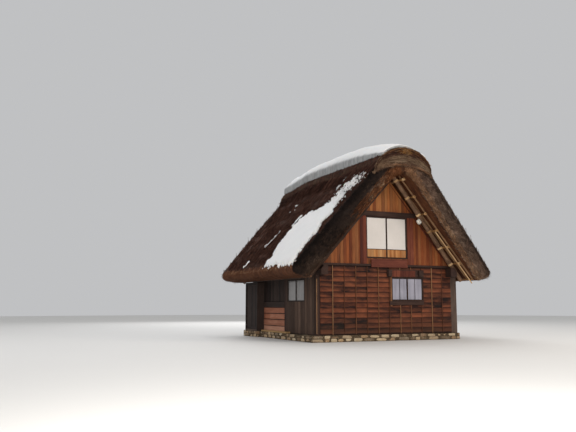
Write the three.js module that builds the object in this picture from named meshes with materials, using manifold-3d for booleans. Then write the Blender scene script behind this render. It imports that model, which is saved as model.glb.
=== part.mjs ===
// A small thatched farmhouse with a steep roof, boarded walls and snow on its thatch.
// Millimetres, +Z up. The gable with the windows faces -Y and the ridge runs along Y.
// Heights are worked out from the top of the foundation stones, places along Y from the face of the
// front wall and places along X from the middle of the roof. At the end the whole house is moved so
// that its origin is in the middle under it.
import * as THREE from 'three';
import { mergeVertices } from 'three/addons/utils/BufferGeometryUtils.js';
import Module from 'manifold-3d';

const wasm = await Module();
wasm.setup();

// Contact between two separate pieces
const seat = 0.3;

// Body of the house
const wallLeft = -3080;
const wallRight = 3330;
const bodyDepth = 6300;
const wallThick = 140;
const gableThick = 100;
const frontWallTop = 2600;
const leftWallTop = 2500;
const rightWallTop = 2250;
const narrowPost = 140;
const broadPost = 300;
const floorThick = 50;

// Foundation stones: how far they stand out from the walls, and how wide each strip is
const stoneHeight = 250;
const stoneLedge = 60;
const leftLedge = 220;
const stoneWidth = 380;
const leftStoneWidth = 540;

// Roof: its inner and outer faces as lines z = apex - rise * |x|, and its ends as leaning planes
const innerApex = 6490;
const innerRise = 1.153;
const outerApex = 7640;
const outerRise = 1.16;
const eaveHeight = 2100;
const eaveTip = 4450;
const vergeFront = -780;
const vergeBack = 6600;
const vergeLean = 0.125;

// Ridge cap of bundled straw, laid over an arc that both slopes are cut to
const capHalf = 1220;
const capTop = 7020;
const capShoulder = 6230;
const capRoundness = 0.57;
const capCrown = 6330;
const capSpring = 6050;
const capFrontReach = 30;
const capBackReach = 200;

// Poles under the thatch
const slimPole = 70;
const slimTop = 480;
const slimFoot = 5750;
const slimPlaces = [-560, -250, 700, 1700, 2700, 3700, 4700, 5700, 6450];
const purlin = 104;
const purlinStep = 840;
const firstPurlin = 620;
const purlinCount = 7;
const purlinFront = -640;
const purlinBack = 6540;
const poleBite = 8;
const vergeRafter = 160;
const rafterTop = 250;
const rafterFoot = 5600;
const rafterStand = 130;
const rafterLean = 0.1;
const bamboo = { thick: 52, y: -600, top: 3150, foot: 5800 };
const lamp = { along: 200, across: 120, deep: 150, down: 2450 };

// Windows, each as left, right, bottom and top of the light. The side window counts along Y.
const upperWindow = { from: -870, to: 930, bottom: 2950, top: 4507 };
const lowerWindow = { from: 250, to: 1650, bottom: 1311, top: 2146 };
const sideWindow = { from: 1020, to: 2490, bottom: 1290, top: 2065 };
const frameWidth = 45;
const frameDepth = 70;
const stileHalf = 14;
const sashThick = 30;
const sashBack = 50;

// Trim on the front
const band = { half: 3000, depth: 70, height: 80 };
const sign = { from: -750, to: 910, bottom: 2560, top: 2880, thick: 35 };
const beam = { half: 1330, depth: 90, height: 185 };
const hood = { from: -20, to: 1700, depth: 60, height: 290 };
const hoodBlock = { width: 160, from: -140, inset: 30, places: [0, 1430] };
const sill = { from: 80, to: 1670, depth: 70, height: 150 };
const beamEnd = { from: 2790, flat: 2950, to: 3080, bottom: 2230, top: 2580, reach: 400 };

// Left wall, by its places along Y
const leftPost = { from: 2620, to: 2800, proud: 20 };
const lowWall = { to: 4930, top: 1250 };
const darkBoardsInset = 60;
const basePlank = { from: 2250, to: 4830, thick: 60 };

// Entry bay on the left wall with a pair of boarded doors that slide past each other
const bay = { reach: 350, board: 40, top: 2095, track: 90, sill: 60, passage: 150 };
const doorTop = 2000;
const doorThick = 30;
const doorLap = 30;
const doorGap = 6;
const headGap = 8;
const trackStep = 40;

// Snow
const snowTop = 7600;
const snowShoulder = 6950;
const snowHalf = 1100;
const snowEdge = 40;
const snowFront = -1370;
const snowBack = 7500;
const snowSheet = 90;

const woods = {
  siding: 0x7a4029,
  gableBoard: 0x9c5d33,
  darkWood: 0x3a2620,
  sideBoard: 0x45332b,
  greyPost: 0x6b5a4e,
  plainBoard: 0xb28a5e,
  log: 0x6a4d36,
};

function finish(color, roughness = 0.85) {
  return new THREE.MeshStandardMaterial({ color, roughness, metalness: 0 });
}

const house = new THREE.Group();

function add(name, geometry, material) {
  const mesh = new THREE.Mesh(geometry, material);
  mesh.name = name;
  house.add(mesh);
}

// Solids made of straight boxes and of outlines pushed along one axis

function block(x0, x1, y0, y1, z0, z1) {
  const geometry = new THREE.BoxGeometry(x1 - x0, y1 - y0, z1 - z0);
  geometry.translate((x0 + x1) / 2, (y0 + y1) / 2, (z0 + z1) / 2);
  return geometry;
}

function shapeOf(points, holes = []) {
  const shape = new THREE.Shape(points.map(([u, v]) => new THREE.Vector2(u, v)));
  for (const outline of holes) {
    shape.holes.push(new THREE.Path(outline.map(([u, v]) => new THREE.Vector2(u, v))));
  }
  return shape;
}

function rectangle(u0, u1, v0, v1) {
  return [[u0, v0], [u1, v0], [u1, v1], [u0, v1]];
}

// An outline drawn in X and Z, pushed along Y. Each end may lean: its place is a function of the height.
function alongY(shape, frontAt, backAt) {
  const geometry = new THREE.ExtrudeGeometry(shape, { depth: 1, bevelEnabled: false });
  const place = geometry.attributes.position;
  for (let i = 0; i < place.count; i += 1) {
    const x = place.getX(i);
    const z = place.getY(i);
    const share = place.getZ(i);
    place.setXYZ(i, x, backAt(z) + (frontAt(z) - backAt(z)) * share, z);
  }
  return geometry;
}

// An outline drawn in Y and Z, pushed along X
function alongX(shape, x0, x1) {
  const geometry = new THREE.ExtrudeGeometry(shape, { depth: x1 - x0, bevelEnabled: false });
  const place = geometry.attributes.position;
  for (let i = 0; i < place.count; i += 1) {
    place.setXYZ(i, x0 + place.getZ(i), place.getX(i), place.getY(i));
  }
  return geometry;
}

const level = (value) => () => value;

// Joining and cutting

function toSolid(geometry) {
  const bare = geometry.clone();
  bare.deleteAttribute('normal');
  bare.deleteAttribute('uv');
  const merged = mergeVertices(bare, 1e-3);
  return new wasm.Manifold(new wasm.Mesh({
    numProp: 3,
    vertProperties: new Float32Array(merged.attributes.position.array),
    triVerts: new Uint32Array(merged.index.array),
  }));
}

function toGeometry(solid) {
  const mesh = solid.getMesh();
  const geometry = new THREE.BufferGeometry();
  geometry.setAttribute('position', new THREE.BufferAttribute(mesh.vertProperties, 3));
  geometry.setIndex(new THREE.BufferAttribute(mesh.triVerts, 1));
  geometry.computeVertexNormals();
  return geometry;
}

function joined(geometries) {
  let solid = toSolid(geometries[0]);
  for (const geometry of geometries.slice(1)) {
    solid = solid.add(toSolid(geometry));
  }
  return solid;
}

// The roof's slope: a place given by the distance down the inner face, the depth under it and Y

const slopeAngle = Math.atan(innerRise);

function underSlope(side, down, depth, y) {
  const x = down * Math.cos(slopeAngle) - depth * Math.sin(slopeAngle);
  const z = innerApex - down * Math.sin(slopeAngle) - depth * Math.cos(slopeAngle);
  return new THREE.Vector3(side * x, y, z);
}

const frontVerge = (z) => vergeFront - vergeLean * (z - eaveHeight);
const backVerge = (z) => vergeBack + vergeLean * (z - eaveHeight);
const innerFace = (x) => innerApex - innerRise * Math.abs(x);
const outerFace = (x) => outerApex - outerRise * Math.abs(x);
const latticeDepth = slimPole + purlin - poleBite;

// A round pole with one corner of its outline turned towards the thatch, so that it touches what it lies on
function pole(from, to, diameter, sides, side) {
  const length = from.distanceTo(to);
  const geometry = new THREE.CylinderGeometry(diameter / 2, diameter / 2, length, sides);
  const along = to.clone().sub(from).normalize();
  const outward = new THREE.Vector3(side * Math.sin(slopeAngle), 0, Math.cos(slopeAngle));
  const across = along.clone().cross(outward).normalize();
  geometry.applyMatrix4(new THREE.Matrix4().makeBasis(across, along, across.clone().cross(along)));
  const middle = from.clone().add(to).multiplyScalar(0.5);
  geometry.translate(middle.x, middle.y, middle.z);
  return geometry;
}

// Foundation: a strip of field stones under each wall and under the entry bay

function buildFoundation() {
  const stone = finish(0x8d8474, 0.95);
  const z0 = -stoneHeight;
  const left = wallLeft - leftLedge;
  const right = wallRight + stoneLedge;
  const front = -stoneLedge;
  const back = bodyDepth + stoneLedge;
  const y0 = front + stoneWidth;
  const y1 = back - stoneWidth;
  add('foundation_front', block(left, right, front, y0, z0, 0), stone);
  add('foundation_back', block(left, right, y1, back, z0, 0), stone);
  add('foundation_left', block(left, left + leftStoneWidth, y0 + seat, y1 - seat, z0, 0), stone);
  add('foundation_right', block(right - stoneWidth, right, y0 + seat, y1 - seat, z0, 0), stone);
  const bayLeft = wallLeft - bay.reach - stoneLedge;
  add('entry_stones', block(bayLeft, left - seat, lowWall.to - stoneLedge, back, z0, 0), stone);
}

function buildFloors() {
  const x0 = wallLeft + wallThick + seat;
  const x1 = wallRight - wallThick - seat;
  const y0 = wallThick + seat;
  const y1 = bodyDepth - wallThick - seat;
  add('ground_floor', block(x0, x1, y0, y1, seat, floorThick), finish(woods.plainBoard));
  const z0 = rightWallTop + seat;
  const bearing = 80;
  add('attic_floor', block(x0, x1 + bearing, y0, y1, z0, z0 + floorThick), finish(woods.plainBoard));
}

function buildPosts() {
  const grey = finish(woods.greyPost);
  const dark = finish(woods.darkWood);
  const left = wallLeft + narrowPost;
  const right = wallRight - broadPost;
  const back = bodyDepth - wallThick;
  add('corner_post_front_left', block(wallLeft, left, 0, wallThick, seat, leftWallTop), dark);
  add('corner_post_front_right', block(right, wallRight, 0, wallThick, seat, rightWallTop), grey);
  add('corner_post_back_left', block(wallLeft, left, back, bodyDepth, seat, leftWallTop), dark);
  add('corner_post_back_right', block(right, wallRight, back, bodyDepth, seat, rightWallTop), grey);
}

// A wall across the house with one window cut through it, and the boards of the gable above it

function frameHole(w) {
  return rectangle(w.from - frameWidth, w.to + frameWidth, w.bottom - frameWidth, w.top + frameWidth);
}

function gableOutline() {
  const base = frontWallTop + seat;
  const peak = innerApex - (latticeDepth + seat) / Math.cos(slopeAngle);
  const half = (peak - base) / innerRise;
  const blunt = 120;
  const top = peak - innerRise * blunt;
  return [[-half, base], [half, base], [blunt, top], [-blunt, top]];
}

function buildGableEnd(end, y0, gableY) {
  const x0 = wallLeft + narrowPost + seat;
  const x1 = wallRight - broadPost - seat;
  const wall = shapeOf(rectangle(x0, x1, seat, frontWallTop), [frameHole(lowerWindow)]);
  add(`${end}_wall`, alongY(wall, level(y0), level(y0 + wallThick)), finish(woods.siding));
  const gable = shapeOf(gableOutline(), [frameHole(upperWindow)]);
  const boards = alongY(gable, level(gableY), level(gableY + gableThick));
  add(`gable_wall_${end}`, boards, finish(woods.gableBoard));
}

// Windows: a ring with a middle stile and two panes that stand in it

function wholeLight(w) {
  const reach = frameWidth - seat;
  return rectangle(w.from - reach, w.to + reach, w.bottom - reach, w.top + reach);
}

function windowRing(w, front, back) {
  const middle = (w.from + w.to) / 2;
  const past = 10;
  const slab = toSolid(alongY(shapeOf(wholeLight(w)), level(front), level(back)));
  const cut = (from, to) => toSolid(block(from, to, front - past, back + past, w.bottom, w.top));
  return toGeometry(slab.subtract(cut(w.from, middle - stileHalf)).subtract(cut(middle + stileHalf, w.to)));
}

function panes(w) {
  const middle = (w.from + w.to) / 2;
  const bottom = w.bottom + seat;
  const top = w.top - seat;
  return {
    left: rectangle(w.from + seat, middle - stileHalf - seat, bottom, top),
    right: rectangle(middle + stileHalf + seat, w.to - seat, bottom, top),
  };
}

function buildWindows() {
  const dark = finish(woods.darkWood);
  const paper = finish(0xe6e0da, 0.8);
  const glass = finish(0xb4b4bc, 0.35);
  const proud = 15;
  const recess = 20;
  for (const [name, w, look] of [['upper', upperWindow, paper], ['lower', lowerWindow, glass]]) {
    add(`${name}_window_frame`, windowRing(w, -proud, frameDepth), dark);
    for (const [half, outline] of Object.entries(panes(w))) {
      const pane = alongY(shapeOf(outline), level(sashBack - sashThick), level(sashBack));
      add(`${name}_pane_${half}`, pane, look);
    }
    const back = alongY(shapeOf(wholeLight(w)), level(bodyDepth - frameDepth), level(bodyDepth - recess));
    add(`back_${name}_window`, back, look);
  }
  const side = shapeOf(wholeLight(sideWindow));
  add('side_window', alongX(side, wallLeft + recess, wallLeft + frameDepth), glass);
  add('right_window', alongX(side, wallRight - frameDepth, wallRight - recess), glass);
}

// Trim on the front: floor band, bare signboard, beam over the upper window, hood and sill of the lower
// one, and the ends of two beams that carry the eaves

function buildFrontTrim() {
  const dark = finish(woods.darkWood);
  const bandTop = frontWallTop + band.height;
  add('floor_band', block(-band.half, band.half, -band.depth, -seat, frontWallTop, bandTop), dark);
  const signBack = -band.depth - seat;
  const board = block(sign.from, sign.to, signBack - sign.thick, signBack, sign.bottom, sign.top);
  add('signboard', board, finish(0x4d2722));
  const beamBottom = upperWindow.top + frameWidth + 5;
  const beamTop = beamBottom + beam.height;
  add('gable_beam', block(-beam.half, beam.half, -beam.depth, -seat, beamBottom, beamTop), dark);

  const hoodBottom = lowerWindow.top + frameWidth + 5;
  const hoodTop = hoodBottom + hood.height;
  const parts = [block(hood.from, hood.to, -hood.depth, -seat, hoodBottom, hoodTop)];
  for (const x of hoodBlock.places) {
    const bottom = hoodBottom + hoodBlock.inset;
    const top = hoodTop - hoodBlock.inset;
    parts.push(block(x, x + hoodBlock.width, hoodBlock.from, -seat, bottom, top));
  }
  add('window_hood', toGeometry(joined(parts)), dark);
  const sillTop = lowerWindow.bottom - frameWidth - 5;
  add('window_sill', block(sill.from, sill.to, -sill.depth, -seat, sillTop - sill.height, sillTop), dark);

  // Each beam end is trimmed to the roof's slope where the verge rafter comes down on it
  const { from, flat, to, bottom, top, reach } = beamEnd;
  const shoulder = top - (to - flat) * innerRise;
  const outline = [[from, bottom], [to, bottom], [to, shoulder], [flat, top], [from, top]];
  const mirrored = outline.map(([x, z]) => [-x, z]).reverse();
  add('beam_end_right', alongY(shapeOf(outline), level(-reach), level(-seat)), dark);
  add('beam_end_left', alongY(shapeOf(mirrored), level(-reach), level(-seat)), dark);
}

// Left wall: a boarded part with a window, a post, a low wall of level boards with darker boards set
// back over it, and the way in behind the entry bay

function buildLeftWall() {
  const board = finish(woods.sideBoard);
  const dark = finish(woods.darkWood);
  const x0 = wallLeft;
  const x1 = wallLeft + wallThick;
  const windowWall = rectangle(wallThick + seat, leftPost.from, seat, leftWallTop);
  add('left_wall_window_bay', alongX(shapeOf(windowWall, [frameHole(sideWindow)]), x0, x1), board);
  const postLeft = x0 - leftPost.proud;
  add('left_wall_post', block(postLeft, x1, leftPost.from + seat, leftPost.to, seat, leftWallTop), dark);
  const y0 = leftPost.to + seat;
  const y1 = lowWall.to;
  add('low_board_wall', block(x0, x1, y0, y1, seat, lowWall.top), finish(woods.siding));
  const inset = x0 + darkBoardsInset;
  add('left_wall_dark_boards', block(inset, x1, y0, y1, lowWall.top + seat, leftWallTop), board);
  const jambTo = lowWall.to + bay.passage;
  add('entry_jamb', block(x0, x1, lowWall.to + seat, jambTo, seat, leftWallTop), board);
  const back = bodyDepth - wallThick;
  add('entry_lintel', block(x0, x1, jambTo + seat, back - seat, doorTop, leftWallTop), board);
  const plankLeft = x0 - leftLedge + leftPost.proud;
  const plank = block(plankLeft, postLeft - seat, basePlank.from, basePlank.to, seat, basePlank.thick);
  add('base_plank', plank, finish(woods.plainBoard));
}

// The bay stands out under the eave: two board cheeks, a sill and a head that hold a pair of doors

function buildEntryBay() {
  const board = finish(woods.sideBoard);
  const grey = finish(woods.greyPost);
  const x0 = wallLeft - bay.reach;
  const x1 = wallLeft - seat;
  const y0 = lowWall.to;
  const y1 = bodyDepth;
  add('entry_cheek_front', block(x0, x1, y0, y0 + bay.board, seat, bay.top), finish(woods.gableBoard));
  add('entry_cheek_back', block(x0, x1, y1 - bay.board, y1, seat, bay.top), board);
  const inside = { from: y0 + bay.board + seat, to: y1 - bay.board - seat };
  const headBottom = doorTop + headGap;
  add('entry_sill', block(x0, x0 + bay.track, inside.from, inside.to, seat, bay.sill), grey);
  add('entry_head', block(x0, x0 + bay.track, inside.from, inside.to, headBottom, bay.top), board);

  const span = inside.to - inside.from - 2 * doorGap;
  const width = (span + doorLap) / 2;
  const z0 = bay.sill + seat;
  const outer = x0 + 5;
  const inner = outer + trackStep;
  const start = inside.from + doorGap;
  const end = inside.to - doorGap;
  add('entry_door_front', block(outer, outer + doorThick, start, start + width, z0, doorTop), board);
  add('entry_door_back', block(inner, inner + doorThick, end - width, end, z0, doorTop), board);
}

function buildRightWall() {
  const y0 = wallThick + seat;
  const y1 = bodyDepth - wallThick - seat;
  const wall = shapeOf(rectangle(y0, y1, seat, rightWallTop), [frameHole(sideWindow)]);
  add('right_wall', alongX(wall, wallRight - wallThick, wallRight), finish(woods.siding));
}

// Roof

const capRise = capCrown - capSpring;
const capRadius = (capHalf * capHalf + capRise * capRise) / (2 * capRise);
const capCentre = capCrown - capRadius;
const capArc = (x) => capCentre + Math.sqrt(capRadius * capRadius - x * x);

// Where a slope's inner face runs into the arc
function capMeet() {
  const rise = innerApex - capCentre;
  const square = 1 + innerRise * innerRise;
  const root = innerRise * innerRise * rise * rise - square * (rise * rise - capRadius * capRadius);
  return (innerRise * rise - Math.sqrt(root)) / square;
}

function arcPlaces() {
  const steps = 5;
  const meet = capMeet();
  return Array.from({ length: steps + 1 }, (_, i) => meet + ((capHalf - meet) * i) / steps);
}

function thatchOutline(side) {
  const points = [
    [(innerApex - eaveHeight) / innerRise, eaveHeight],
    [eaveTip - 170, eaveHeight + 90],
    [eaveTip - 30, eaveHeight + 190],
    [eaveTip, eaveHeight + 300],
    [eaveTip - 40, outerFace(eaveTip - 40)],
    [capHalf + seat, outerFace(capHalf + seat)],
    [capHalf + seat, capArc(capHalf) - 2 * seat],
  ];
  const [meet, ...beyond] = arcPlaces();
  for (const x of beyond.reverse()) {
    points.push([x, capArc(x) - 2 * seat]);
  }
  points.push([meet, innerFace(meet)]);
  return points.map(([x, z]) => [side * x, z]);
}

function capSurface(x) {
  const share = Math.min(1, Math.abs(x) / capHalf);
  return capShoulder + (capTop - capShoulder) * Math.pow(1 - share * share, capRoundness);
}

// The corners of the cap's upper side, from right to left
function capCorners() {
  const steps = 14;
  return Array.from({ length: steps + 1 }, (_, i) => {
    const x = capHalf * Math.cos((Math.PI * i) / steps);
    return [x, capSurface(x)];
  });
}

function capOutline() {
  const places = arcPlaces();
  const under = [...places.map((x) => -x).reverse(), ...places];
  return [...under.map((x) => [x, capArc(x)]), ...capCorners()];
}

function buildThatch() {
  const straw = finish(0x4a3428, 0.95);
  for (const [name, side] of [['left', -1], ['right', 1]]) {
    add(`thatch_${name}`, alongY(shapeOf(thatchOutline(side)), frontVerge, backVerge), straw);
  }
  const capFront = (z) => frontVerge(z) - capFrontReach;
  const capBack = (z) => backVerge(z) + capBackReach;
  add('ridge_cap', alongY(shapeOf(capOutline()), capFront, capBack), finish(0x5a4a34, 0.95));
}

// Poles under the thatch: purlins along Y, lashed under slim poles that run down the slope

function buildLattice() {
  const log = finish(woods.log);
  const slimDepth = seat + slimPole / 2;
  const purlinDepth = seat + slimPole - poleBite + purlin / 2;
  for (const [name, side] of [['left', -1], ['right', 1]]) {
    const parts = [];
    for (let i = 0; i < purlinCount; i += 1) {
      const down = firstPurlin + i * purlinStep;
      const front = underSlope(side, down, purlinDepth, purlinFront);
      const back = underSlope(side, down, purlinDepth, purlinBack);
      parts.push(pole(front, back, purlin, 8, side));
    }
    for (const y of slimPlaces) {
      const top = underSlope(side, slimTop, slimDepth, y);
      const foot = underSlope(side, slimFoot, slimDepth, y);
      parts.push(pole(top, foot, slimPole, 6, side));
    }
    add(`roof_poles_${name}`, toGeometry(joined(parts)), log);
  }
}

// A pair of stout rafters crosses at the ridge just outside each gable and holds the purlins' ends

const rafterDepth = 2 * seat + latticeDepth + vergeRafter / 2;
const rafterFront = (z) => -rafterStand - rafterLean * (z - eaveHeight);
const rafterBack = (z) => bodyDepth + rafterStand + rafterLean * (z - eaveHeight);

function buildVergeRafters() {
  for (const [end, placeAt] of [['front', rafterFront], ['back', rafterBack]]) {
    const pair = [-1, 1].map((side) => {
      const top = underSlope(side, rafterTop, rafterDepth, 0);
      const foot = underSlope(side, rafterFoot, rafterDepth, 0);
      top.y = placeAt(top.z);
      foot.y = placeAt(foot.z);
      return pole(top, foot, vergeRafter, 10, side);
    });
    add(`verge_rafters_${end}`, toGeometry(joined(pair)), finish(woods.log));
  }
}

function buildBambooAndLamp() {
  const depth = 2 * seat + latticeDepth + bamboo.thick / 2;
  const top = underSlope(1, bamboo.top, depth, bamboo.y);
  const foot = underSlope(1, bamboo.foot, depth, bamboo.y);
  add('bamboo_pole', pole(top, foot, bamboo.thick, 8, 1), finish(0xc2a878));

  const box = new THREE.BoxGeometry(lamp.along, lamp.across, lamp.deep);
  box.rotateY(slopeAngle);
  const place = underSlope(1, lamp.down, 3 * seat + latticeDepth + vergeRafter + lamp.deep / 2, 0);
  box.translate(place.x, rafterFront(place.z), place.z);
  add('verge_lamp', box, finish(0xd8d4cc, 0.5));
}

// Snow: a long bank on the ridge cap and a thin sheet on the left slope

// A closed body from rings of points with the same count in each ring, in order along Y
function loft(rings) {
  const count = rings[0].length;
  const positions = rings.flat().flatMap((p) => [p.x, p.y, p.z]);
  const index = [];
  for (let r = 0; r + 1 < rings.length; r += 1) {
    for (let i = 0; i < count; i += 1) {
      const a = r * count + i;
      const b = r * count + ((i + 1) % count);
      index.push(a, b + count, b, a, a + count, b + count);
    }
  }
  const last = (rings.length - 1) * count;
  for (let i = 0; i + 1 < count / 2; i += 1) {
    const opposite = count - 1 - i;
    index.push(i, i + 1, opposite, i + 1, opposite - 1, opposite);
    index.push(last + i, last + opposite, last + i + 1);
    index.push(last + i + 1, last + opposite, last + opposite - 1);
  }
  const geometry = new THREE.BufferGeometry();
  geometry.setAttribute('position', new THREE.BufferAttribute(new Float32Array(positions), 3));
  geometry.setIndex(index);
  geometry.computeVertexNormals();
  return geometry;
}

function buildRidgeSnow() {
  // Places along the bank as shares of its length, each with its share of the full depth of snow
  const stations = [
    [0, 0.16], [0.04, 0.36], [0.11, 0.62], [0.19, 0.8], [0.27, 0.93], [0.42, 1],
    [0.75, 0.97], [0.92, 0.9], [0.97, 0.8], [1, 0.6],
  ];
  const bed = capCorners().filter(([x]) => Math.abs(x) < snowHalf).reverse();
  const crown = (x) => snowTop - (snowTop - snowShoulder) * Math.pow(Math.abs(x) / snowHalf, 2.4);
  const rings = stations.map(([share, fill]) => {
    const y = snowFront + (snowBack - snowFront) * share;
    const heightOver = (x, z) => z + snowEdge + (crown(x) - z - snowEdge) * fill;
    const lower = bed.map(([x, z]) => new THREE.Vector3(x, y, z + seat));
    const upper = bed.map(([x, z]) => new THREE.Vector3(x, y, heightOver(x, z)));
    return [...lower, ...upper.reverse()];
  });
  return loft(rings);
}

function buildSlopeSnow() {
  const outerAngle = Math.atan(outerRise);
  // Outline as distance down the outer face from its apex, and Y
  const outline = [
    [6690, 1850], [6690, -700], [6230, -600], [5860, -450], [5090, -600], [4640, -430], [4210, -560],
    [3470, -560], [3080, -700], [2740, -1000], [2380, -1180], [2230, -1100], [2060, -470], [2100, 20],
    [2440, 390], [2900, 570], [3430, 450], [3780, 950], [3810, 1600], [4190, 2080], [4790, 2200],
    [5450, 2220], [5910, 2030], [6160, 1700], [6390, 1980],
  ];
  const geometry = new THREE.ExtrudeGeometry(shapeOf(outline), { depth: snowSheet, bevelEnabled: false });
  const place = geometry.attributes.position;
  for (let i = 0; i < place.count; i += 1) {
    const down = place.getX(i);
    const proud = seat + snowSheet - place.getZ(i);
    const x = -(down * Math.cos(outerAngle) + proud * Math.sin(outerAngle));
    const z = outerApex - down * Math.sin(outerAngle) + proud * Math.cos(outerAngle);
    place.setXYZ(i, x, place.getY(i), z);
  }
  return geometry;
}

buildFoundation();
buildFloors();
buildPosts();
buildGableEnd('front', 0, 0);
buildGableEnd('back', bodyDepth - wallThick, bodyDepth - gableThick);
buildWindows();
buildFrontTrim();
buildLeftWall();
buildEntryBay();
buildRightWall();
buildThatch();
buildLattice();
buildVergeRafters();
buildBambooAndLamp();
const snow = finish(0xeef1f6, 0.7);
add('ridge_snow', buildRidgeSnow(), snow);
add('slope_snow', buildSlopeSnow(), snow);

// The origin goes to the middle of the whole house, on the ground
const extent = new THREE.Box3().setFromObject(house);
house.position.set(-(extent.min.x + extent.max.x) / 2, -(extent.min.y + extent.max.y) / 2, stoneHeight);
house.updateMatrixWorld(true);

export default house;
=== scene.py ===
import math
import random

import bmesh
import bpy
import numpy as np
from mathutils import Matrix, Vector, noise


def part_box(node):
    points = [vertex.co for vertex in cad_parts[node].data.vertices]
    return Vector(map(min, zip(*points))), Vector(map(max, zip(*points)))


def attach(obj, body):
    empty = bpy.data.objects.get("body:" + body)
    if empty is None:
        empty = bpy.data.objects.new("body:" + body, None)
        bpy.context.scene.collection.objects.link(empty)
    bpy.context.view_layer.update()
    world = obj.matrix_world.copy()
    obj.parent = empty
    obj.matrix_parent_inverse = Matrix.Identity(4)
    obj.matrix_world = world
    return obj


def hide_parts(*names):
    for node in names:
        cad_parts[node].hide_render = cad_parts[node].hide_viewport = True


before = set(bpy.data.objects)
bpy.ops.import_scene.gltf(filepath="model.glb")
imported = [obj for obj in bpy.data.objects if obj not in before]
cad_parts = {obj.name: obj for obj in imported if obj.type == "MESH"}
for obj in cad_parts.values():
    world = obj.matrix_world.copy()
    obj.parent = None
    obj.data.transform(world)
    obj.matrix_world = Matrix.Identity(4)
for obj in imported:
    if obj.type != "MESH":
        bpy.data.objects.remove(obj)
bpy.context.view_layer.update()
print("the packed frame is in")

# Where the house's own faces are, read from the frame, in metres over the ground
house = {
    "front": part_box("front_wall")[0].y,
    "back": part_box("back_wall")[1].y,
    "left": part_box("corner_post_front_left")[0].x,
    "right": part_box("right_wall")[1].x,
    "stoneTop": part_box("foundation_front")[1].z,
    "wallTop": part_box("front_wall")[1].z,
}

# The roof's inner and outer faces as lines, its leaning ends and the arc that the ridge cap sits on
thatchLow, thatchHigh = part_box("thatch_left")
vergeLean = 0.125
roof = {
    "innerApex": 6.74,
    "innerRise": 1.153,
    "outerApex": 7.89,
    "outerRise": 1.16,
    "length": 5.2,  # down the slope, for the patterns
    "eaveBottom": thatchLow.z,
    "frontVerge": thatchLow.y + vergeLean * (thatchHigh.z - thatchLow.z),
    "backVerge": thatchHigh.y - vergeLean * (thatchHigh.z - thatchLow.z),
    # The eave's outline as x and z, from the outer face to the inner one
    "nose": [(4.41, 2.774), (4.45, 2.65), (4.42, 2.54), (4.28, 2.44), (3.807, 2.35)],
    "latticeDepth": 0.166,
    "roll": 0.1,
    "sag": 0.2,
    "sagFrom": 1.6,
    "sagLength": 2.6,
}
cap = {
    "half": 1.22,
    "top": 7.27,
    "shoulder": 6.48,
    "roundness": 0.57,
    "crown": 6.58,
    "spring": 6.30,
    "meet": 0.141,
    "frontReach": 0.03,
    "backReach": 0.2,
    "arcLength": 3.8,  # over the cap, for the patterns
}
innerTilt = math.atan(roof["innerRise"])
outerTilt = math.atan(roof["outerRise"])


def mix(a, b, share):
    return a + (b - a) * share


def ease(share):
    share = np.clip(share, 0.0, 1.0)
    return share * share * (3 - 2 * share)


def frontVerge(z):
    return roof["frontVerge"] - vergeLean * (z - roof["eaveBottom"])


def backVerge(z):
    return roof["backVerge"] + vergeLean * (z - roof["eaveBottom"])


def ridgeSag(y):
    return roof["sag"] * ease((y - roof["sagFrom"]) / roof["sagLength"])


# A place given by the distance down the inner face, the depth under it and Y
def underSlope(side, down, depth, y):
    x = down * math.cos(innerTilt) - depth * math.sin(innerTilt)
    z = roof["innerApex"] - down * math.sin(innerTilt) - depth * math.cos(innerTilt)
    return Vector((side * x, y, z))


# Noise from -1 to 1 whose lumps have that size, or that size along each axis
def lumps(point, size, seed):
    x, y, z = size if isinstance(size, tuple) else (size, size, size)
    return noise.noise(Vector((point[0] / x + seed, point[1] / y + seed, point[2] / z - seed)))


# A colour code as the linear values that nodes take
def linear(code):
    parts = [int(code[i:i + 2], 16) / 255 for i in (1, 3, 5)]
    return tuple(v / 12.92 if v <= 0.04045 else ((v + 0.055) / 1.055) ** 2.4 for v in parts) + (1.0,)


# Adds a node. Plain values go to its live inputs in their order, which for noise is place, scale, detail and
# roughness; capitalised names go to the inputs of that name, and other names to its settings. A text is a
# colour. It gives the first live output, or the one named.
def addNode(tree, kind, *values, out=None, stops=None, **named):
    made = tree.nodes.new("ShaderNode" + kind)
    for key in named:
        if key[0].islower():
            setattr(made, key, named[key])
    inputs = list(zip([socket for socket in made.inputs if socket.enabled], values))
    inputs += [(made.inputs[key], named[key]) for key in named if key[0].isupper()]
    for socket, value in inputs:
        if isinstance(value, bpy.types.NodeSocket):
            tree.links.new(value, socket)
        else:
            socket.default_value = linear(value) if isinstance(value, str) else value
    for i, (place, code) in enumerate((stops or {}).items()):  # the new ramp's own two steps make way
        steps = made.color_ramp.elements
        if i == 0:
            steps.remove(steps[1])
            steps[0].position = place
        (steps.new(place) if i else steps[0]).color = linear(code)
    return made.outputs[out] if out else next(socket for socket in made.outputs if socket.enabled)


# The sum of values, each times its weight, which may be a value too; held keeps it between 0 and 1
def weigh(tree, *terms, plus=0.0, held=False):
    total = None
    for value, weight in terms:
        part = value if weight == 1 else addNode(tree, "Math", value, weight, operation="MULTIPLY")
        total = addNode(tree, "Math", total, part, operation="ADD") if total else part
    if plus:
        total = addNode(tree, "Math", total, plus, operation="ADD")
    if held:
        total.node.use_clamp = True
    return total


# Colours at even steps of a ramp
def evenly(codes, low=0.0, high=1.0):
    return {mix(low, high, i / (len(codes) - 1)): code for i, code in enumerate(codes)}


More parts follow.
